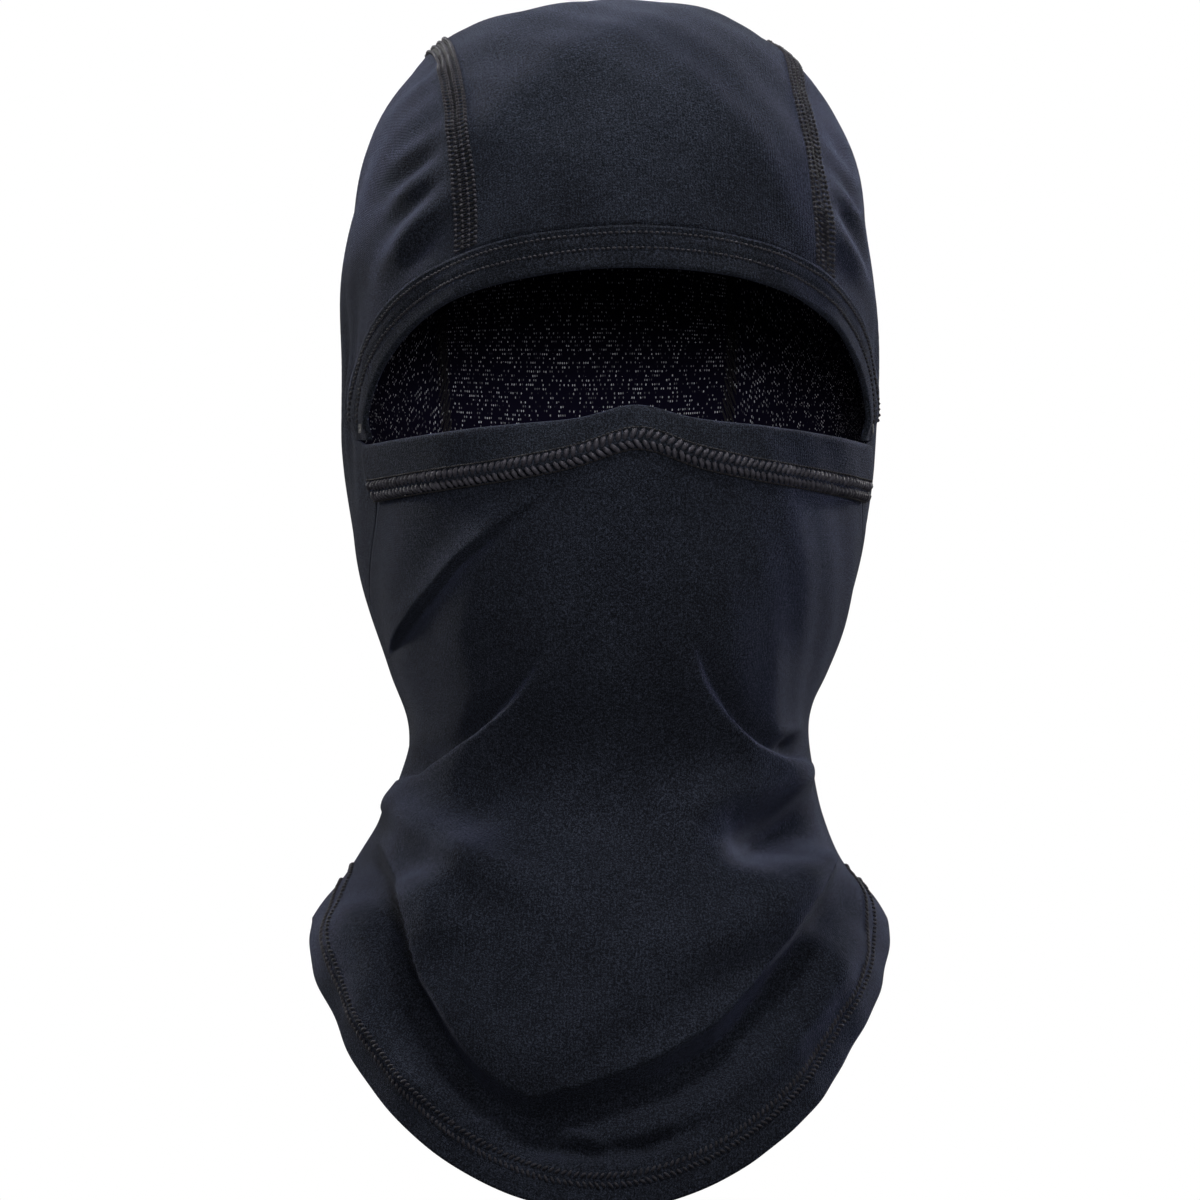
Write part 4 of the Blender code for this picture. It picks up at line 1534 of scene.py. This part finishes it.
@dataclass(frozen=True)
class Stitches:
    """Every row of thread."""

    form: Form
    drape: Drape
    finishes: Finishes
    tilt_spread: float = 0.10
    length_spread: float = 0.08
    rise_spread: float = 0.15
    slip_spread: float = 0.04
    looper_radius: float = 0.00022

    def _along(self, course: Course, pitch: float) -> tuple[Array, Array, Array]:
        """Even steps down a course: points, ways along it and outward directions.

        Args:
            course: the row's line, from 0 to 1.
            pitch: the distance from one stitch to the next.

        Returns:
            Points, ways and outward directions.
        """
        fine = np.linspace(0.0, 1.0, 1200)
        p = course(fine)
        run = np.concatenate([[0.0], np.cumsum(np.linalg.norm(np.diff(p, axis=0), axis=1))])
        count = max(int(run[-1] / pitch), 2)
        at = (np.arange(count) + 0.5) * run[-1] / count
        spots = np.stack([np.interp(at, run, p[:, k]) for k in range(3)], axis=-1)
        ahead = np.stack([np.interp(at + 0.0006, run, p[:, k]) for k in range(3)], axis=-1)
        behind = np.stack([np.interp(at - 0.0006, run, p[:, k]) for k in range(3)], axis=-1)
        way = ahead - behind
        way /= np.linalg.norm(way, axis=-1, keepdims=True)
        out = self.form.outward(spots)
        out -= way * np.sum(out * way, axis=-1, keepdims=True)
        out /= np.linalg.norm(out, axis=-1, keepdims=True)
        return spots, way, out

    def row(self, course: Course, stitch: Stitch, shift: float = 0.0) -> list[Array]:
        """One row of stitches along a course.

        Args:
            course: the row's line, from 0 to 1.
            stitch: the stitch's size.
            shift: how far the row is moved along.

        Returns:
            One path for each stitch.
        """
        spots, way, out = self._along(course, stitch.pitch)
        across = np.cross(out, way)
        uneven = np.random.default_rng(len(spots)).normal(size=(len(spots), 3))
        reach = np.linspace(-1, 1, 5)
        paths = []
        for p, w, o, a, (tilt, size, slip) in zip(spots, way, out, across, uneven, strict=True):
            slant = stitch.slant + self.tilt_spread * tilt
            lean = w * math.cos(slant) + a * math.sin(slant)
            half = stitch.length / 2 * (1 + self.length_spread * size)
            start = p + w * (shift + self.slip_spread * stitch.pitch * slip)
            rise = stitch.rise * (1 + self.rise_spread * size)
            path = [start + lean * (half * t) + o * (rise * (1 - 1.6 * t * t)) for t in reach]
            paths.append(np.array(path))
        return paths

    def zigzag(self, left: Course, right: Course, pitch: float, lift: float) -> list[Array]:
        """A looper thread swinging between two rows.

        Args:
            left: the first row's line.
            right: the second row's line.
            pitch: the distance from one stitch to the next.
            lift: how far the thread's middle stands off.

        Returns:
            One path for each swing.
        """
        a, _, out = self._along(left, pitch)
        b = self._along(right, pitch)[0]
        count = min(len(a), len(b)) - 1
        paths = []
        for i in range(count):
            middle = (a[i] + b[i]) / 2 + out[i] * lift
            paths.append(np.array([a[i], middle, b[i]]))
            middle = (b[i] + a[i + 1]) / 2 + out[i] * lift
            paths.append(np.array([b[i], middle, a[i + 1]]))
        return paths

    def build(self) -> None:
        """Makes every row."""
        for side, word in ((-1, "left"), (1, "right")):
            self.crown_seam(side, word)
            self.side_seam(side, word)
            self.bartack(side, word)
        self.brow()
        self.mask()
        self.lower()

    def crown_seam(self, side: int, word: str) -> None:
        """Four rows of thread over each crown seam, and the loops inside it.

        Args:
            side: -1 for the left, 1 for the right.
            word: left or right, for the names.
        """

        def course(offset: float, off: float) -> Course:
            """A line for a row of thread.

            Args:
                offset: the distance beside the seam.
                off: distances off the cloth.

            Returns:
                The row's line.
            """

            def at(t: Array) -> Array:
                """The row's points.

                Args:
                    t: places, from 0 to 1.

                Returns:
                    The points.
                """
                along = 0.003 + 0.985 * t
                widen = 0.84 + 0.20 * smooth(1 - along / 0.22)
                inset = np.full_like(t, offset) * widen
                return self.drape.place(self.form.crown_spot(np.full_like(t, side), along, inset), off)

            return at

        needle = Stitch(pitch=0.0016, length=0.0008, radius=0.00046, rise=0.00045, slant=0.45 * side)
        outer: list[Array] = []
        for k, offset in enumerate((-0.0027, -0.0009, 0.0009, 0.0027)):
            outer += self.row(course(offset, 0.0001), needle, shift=0.0004 * (k % 2))
        piece = threads(f"crown_seam_{word}_needle_threads", outer, needle.radius, self.finishes.seam)
        declare(piece, HOOD, "seam_thread", f"crown_seam_{word}_outer_threads")
        under = self.zigzag(course(-0.0031, 0.0), course(0.0031, 0.0), 0.0016, 0.0001)
        name = f"crown_seam_{word}_cover_thread"
        piece = threads(name, under, self.looper_radius, self.finishes.thread, 1.0)
        declare(piece, HOOD, "seam_thread")
        inner = self.zigzag(course(-0.0022, -0.0012), course(0.0022, -0.0012), 0.0032, -0.0002)
        piece = threads(f"crown_seam_{word}_loops", inner, 0.00018, self.finishes.thread, 1.0)
        declare(piece, HOOD, "seam_thread", f"crown_seam_{word}_inner_threads")

    def side_seam(self, side: int, word: str) -> None:
        """The overlock inside each side seam.

        Args:
            side: -1 for the left, 1 for the right.
            word: left or right, for the names.
        """

        def course(offset: float) -> Course:
            """A line for a row of thread.

            Args:
                offset: the distance beside the seam.

            Returns:
                The row's line.
            """

            def at(t: Array) -> Array:
                """The row's points.

                Args:
                    t: places, from 0 to 1.

                Returns:
                    The points.
                """
                low = float(self.form.hem_z(np.array(self.form.side_neck))) + 0.012
                z = low + (self.form.pivot[1] - 0.020 - low) * t
                turn = self.form.side_line(z) + offset / self.form.section(z)[0]
                p = self.form.spot(turn, z)
                p[..., 0] *= side
                return self.drape.place(p, -0.0014)

            return at

        paths = self.zigzag(course(-0.0022), course(0.0022), 0.0018, -0.0005)
        piece = threads(f"side_seam_{word}_loops", paths, 0.00026, self.finishes.thread, 1.0)
        declare(piece, HOOD, "seam_thread", f"side_seam_{word}_overlock")

    def bartack(self, side: int, word: str) -> None:
        """A short bar of thread at each corner of the eye opening.

        Args:
            side: -1 for the left, 1 for the right.
            word: left or right, for the names.
        """
        turn, z = self.form.arch(np.linspace(0.925, 0.955, 9))
        paths = []
        for t, h in zip(turn, z, strict=True):
            run = np.linspace(0.0006, 0.0030, 4) / self.form.half_width
            p = self.form.spot(t + run, np.full(4, h))
            p[..., 0] *= side
            paths.append(self.drape.place(p, 0.0019))
        piece = threads(f"bartack_{word}_threads", paths, 0.00020, self.finishes.thread)
        declare(piece, HOOD, "stitch_thread", f"bartack_{word}")

    def brow(self) -> None:
        """Two rows of topstitch along the brow band, and the looper inside."""

        def course(outset: float, off: float, reach: float = 0.93) -> Course:
            """A line for a row of thread.

            Args:
                outset: distances outside the arch.
                off: distances off the cloth.
                reach: how far along the arch the row goes.

            Returns:
                The row's line.
            """

            def at(t: Array) -> Array:
                """The row's points.

                Args:
                    t: places, from 0 to 1.

                Returns:
                    The points.
                """
                at_arch = reach * (2 * t - 1)
                turn, z = self.form.arch(at_arch, outset)
                return self.drape.place(self.form.spot(turn, z), off - band_tuck(at_arch))

            return at

        stitch = Stitch(pitch=0.0017, length=0.0010, radius=0.00044, rise=0.00042)
        upper, lower = Bands.brow_rows
        for word, outset in (("upper", upper), ("lower", lower)):
            paths = self.row(course(outset, 0.0014), stitch)
            piece = threads(f"brow_topstitch_{word}", paths, stitch.radius, self.finishes.hem_thread)
            declare(piece, HOOD, "stitch_thread", f"brow_needle_row_{word}")
        loops = self.zigzag(course(upper, -0.0012), course(lower, -0.0012), 0.0024, -0.0003)
        piece = threads("brow_looper", loops, self.looper_radius, self.finishes.thread, 1.0)
        declare(piece, HOOD, "stitch_thread", "brow_looper_threads")

    def mask(self) -> None:
        """The ladder of cover thread under the mask's hem, and the looper inside."""

        def course(below: float, off: float) -> Course:
            """A line for a row of thread.

            Args:
                below: the distance under the hem.
                off: distances off the cloth.

            Returns:
                The row's line.
            """

            def at(t: Array) -> Array:
                """The row's points.

                Args:
                    t: places, from 0 to 1.

                Returns:
                    The points.
                """
                turn = (self.form.face_angle - 0.005) * (2 * t - 1)
                z = self.form.mask_top(turn) - self.form.mask_hem_depth(turn) - below
                return self.drape.place(self.form.spot(turn, z), off)

            return at

        bead = Stitch(pitch=0.0023, length=0.0030, radius=0.00078, rise=0.00050, slant=1.10)
        back = Stitch(pitch=0.0023, length=0.0030, radius=0.00078, rise=0.00050, slant=-0.95)
        edge = Stitch(pitch=0.0013, length=0.0011, radius=0.00030, rise=0.00030)
        paths = self.row(course(-0.0017, 0.0016), bead) + self.row(course(0.0013, 0.0012), back, shift=0.0011)
        piece = threads("mask_cover_beads", paths, bead.radius, self.finishes.cover, 0.6)
        hold_ends(self.form, piece)
        declare(piece, MASK_EDGE, "stitch_thread", "mask_cover_threads")
        paths = self.row(course(-0.0034, 0.0018), edge) + self.row(course(0.0030, 0.0008), edge)
        piece = threads("mask_cover_edges", paths, edge.radius, self.finishes.thread)
        hold_ends(self.form, piece)
        declare(piece, MASK_EDGE, "stitch_thread")
        loops = self.zigzag(course(-0.0022, -0.0016), course(0.0020, -0.0016), 0.0018, -0.0003)
        piece = threads("mask_looper", loops, self.looper_radius, self.finishes.thread, 1.0)
        hold_ends(self.form, piece)
        declare(piece, MASK_EDGE, "stitch_thread", "mask_looper_threads")

    def lower(self) -> None:
        """Two rows of topstitch round the lower hem, and the looper inside."""

        def course(above: float, off: float) -> Course:
            """A line for a row of thread.

            Args:
                above: distances in from the lower edge.
                off: distances off the cloth.

            Returns:
                The row's line.
            """

            def at(t: Array) -> Array:
                """The row's points."""
                turn, z = self.form.above_hem(math.pi * (2 * t - 1), above)
                return self.drape.place(self.form.spot(turn, z), off)

            return at

        upper, lower = 0.0104, 0.0076
        for word, above, slant in (("upper", upper, 0.90), ("lower", lower, -0.90)):
            stitch = Stitch(pitch=0.0019, length=0.0019, radius=0.00046, rise=0.00026, slant=slant)
            paths = self.row(course(above, 0.0001), stitch)
            piece = threads(f"hem_topstitch_{word}", paths, stitch.radius, self.finishes.hem_thread)
            declare(piece, HOOD, "stitch_thread", f"hem_needle_row_{word}")
        loops = self.zigzag(course(upper, -0.0022), course(lower, -0.0022), 0.0025, -0.0003)
        piece = threads("hem_looper", loops, self.looper_radius, self.finishes.thread, 1.0)
        declare(piece, HOOD, "stitch_thread", "hem_looper_threads")


@dataclass(frozen=True)
class CareLabel:
    """The blank label inside the nape."""

    form: Form
    drape: Drape
    finishes: Finishes
    width: float = 0.030
    height: float = 0.016
    low: float = -0.092

    def _at(self, x: Array, z: Array, off: float) -> Array:
        """A point on the inner face of the nape.

        Args:
            x: places across the label.
            z: heights.
            off: distances off the cloth.

        Returns:
            The points.
        """
        angle = np.arcsin(np.clip(x / self.form.section(z)[0], -1, 1))
        turn = np.where(x >= 0, math.pi - angle, -math.pi - angle)
        return self.drape.place(self.form.spot(turn, z), off)

    def build(self) -> None:
        """Makes the label and its row of stitches."""

        def chart(u: Array, v: Array) -> Array:
            """The cloth's points."""
            off = -0.0018 - 0.0008 * (1 - v) ** 2
            return self._at((0.5 - u) * self.width, self.low + v * self.height, off)

        piece = cloth_sheet("care_label_tape", 24, 14, chart, (self.width, self.height))
        thicken(piece, 0.0003, self.finishes.satin, self.finishes.satin)
        declare(piece, HOOD, "label_satin", "care_label")
        x = np.linspace(-0.0135, 0.0135, 13)
        z = np.full(3, self.low + self.height - 0.002)
        paths = [self._at(c + np.array([-0.0008, 0.0, 0.0008]), z, -0.0024) for c in x]
        piece = threads("care_label_stitch_row", paths, 0.00018, self.finishes.thread)
        declare(piece, HOOD, "stitch_thread", "care_label_stitches")


# ---- studio -----------------------------------------------------------------------------------
@dataclass(frozen=True)
class Studio:
    """A pale floor, soft light and the camera."""

    azimuth: float = radians(-4.5)
    distance: float = 5.0
    view_height: float = 0.3605
    aside: float = -0.0027
    floor_drop: float = 0.15
    floor_radius: float = 1.5
    floor_tone: tuple[float, float, float, float] = (0.86, 0.86, 0.86, 1.0)
    floor_glow: float = 0.75
    ambient: float = 0.13

    def build(self, low: Vector, high: Vector) -> None:
        """Lights the garment and looks at its middle.

        Args:
            low: the garment's lowest corner.
            high: its highest corner.
        """
        middle = (low + high) / 2
        self._floor(low.z - self.floor_drop)
        self._world()
        crown = Vector((middle.x, middle.y, high.z - 0.06))
        face = Vector((middle.x, low.y, high.z - 0.165))
        bib = Vector((middle.x, low.y, low.z + 0.085))
        self._lamp("top_light", (0.0, -0.02, 1.00), 0.09, 100.0, radians(16), crown)
        self._lamp("front_light", (0.0, -1.60, 0.20), 0.15, 48.0, radians(19), face)
        self._lamp("fill_light", (0.06, -0.62, 0.90), 0.14, 46.0, radians(16), bib)
        self._lamp("right_light", (0.95, 1.20, 0.46), 0.30, 420.0, radians(10.5), crown)
        self._lamp("left_light", (-0.98, 1.14, 0.46), 0.30, 540.0, radians(10.5), crown)
        self._camera(middle)

    def _floor(self, height: float) -> None:
        """A pale round floor, which glows a little and adds no light to the garment.

        Args:
            height: where the floor lies.
        """
        bm = bmesh.new()
        bmesh.ops.create_circle(bm, cap_ends=True, segments=96, radius=self.floor_radius)
        bmesh.ops.translate(bm, verts=bm.verts, vec=(0, 0, height))
        mesh = bpy.data.meshes.new("floor")
        bm.to_mesh(mesh)
        bm.free()
        floor = bpy.data.objects.new("floor", mesh)
        bpy.context.scene.collection.objects.link(floor)
        n = Nodes("floor_paper")
        n.shader.inputs["Base Color"].default_value = self.floor_tone
        n.shader.inputs["Roughness"].default_value = 0.9
        n.shader.inputs["Emission Color"].default_value = self.floor_tone
        n.shader.inputs["Emission Strength"].default_value = self.floor_glow
        mesh.materials.append(n.material)
        floor.visible_diffuse = False
        floor.visible_glossy = False
        floor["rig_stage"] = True

    def _world(self) -> None:
        """Surroundings that are white to the camera and dim to everything else."""
        world = bpy.data.worlds.new("studio")
        world.use_nodes = True
        tree = world.node_tree
        shade = tree.nodes["Background"]
        shade.inputs["Color"].default_value = (1.0, 1.0, 1.0, 1.0)
        path = tree.nodes.new("ShaderNodeLightPath")
        strength = tree.nodes.new("ShaderNodeMapRange")
        strength.inputs["To Min"].default_value = self.ambient
        strength.inputs["To Max"].default_value = 1.0
        tree.links.new(path.outputs["Is Camera Ray"], strength.inputs["Value"])
        tree.links.new(strength.outputs["Result"], shade.inputs["Strength"])
        bpy.context.scene.world = world
        bpy.context.scene.view_settings.view_transform = "Standard"
        bpy.context.scene.view_settings.look = "None"

    def _lamp(
        self,
        name: str,
        place: tuple[float, float, float],
        size: float,
        power: float,
        cone: float,
        target: Vector,
    ) -> None:
        """One soft spot lamp aimed at a place.

        Args:
            name: the lamp's name.
            place: where it hangs.
            size: its radius.
            power: its watts.
            cone: the angle of its cone.
            target: where it looks.
        """
        data = bpy.data.lights.new(name, "SPOT")
        data.shadow_soft_size = size
        data.spot_size = cone
        data.spot_blend = 1.0
        data.energy = power
        lamp = bpy.data.objects.new(name, data)
        lamp.location = Vector(place)
        lamp.rotation_euler = (target - lamp.location).to_track_quat("-Z", "Y").to_euler()
        bpy.context.scene.collection.objects.link(lamp)

    def _camera(self, target: Vector) -> None:
        """A long lens, level with the garment's middle.

        Args:
            target: where it looks.
        """
        data = bpy.data.cameras.new("camera")
        data.sensor_width = 36.0
        data.lens = data.sensor_width * self.distance / self.view_height
        camera = bpy.data.objects.new("camera", data)
        way = Vector((math.sin(self.azimuth), -math.cos(self.azimuth), 0.0))
        right = Vector((math.cos(self.azimuth), math.sin(self.azimuth), 0.0))
        camera.location = Vector((0.0, 0.0, target.z)) + way * self.distance + right * self.aside
        camera.rotation_euler = (-way).to_track_quat("-Z", "Y").to_euler()
        bpy.context.scene.collection.objects.link(camera)
        bpy.context.scene.camera = camera


def main() -> None:
    """Builds the garment and its studio."""
    logging.basicConfig(level=logging.INFO, format="%(name)s: %(message)s")
    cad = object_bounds()
    finishes = Finishes()
    Panels(FORM, DRAPE, finishes).build()
    Bands(FORM, DRAPE, finishes).build()
    Stitches(FORM, DRAPE, finishes).build()
    CareLabel(FORM, DRAPE, finishes).build()
    Studio().build(Vector(cad[0]), Vector(cad[1]))


if __name__ == "__main__":
    main()
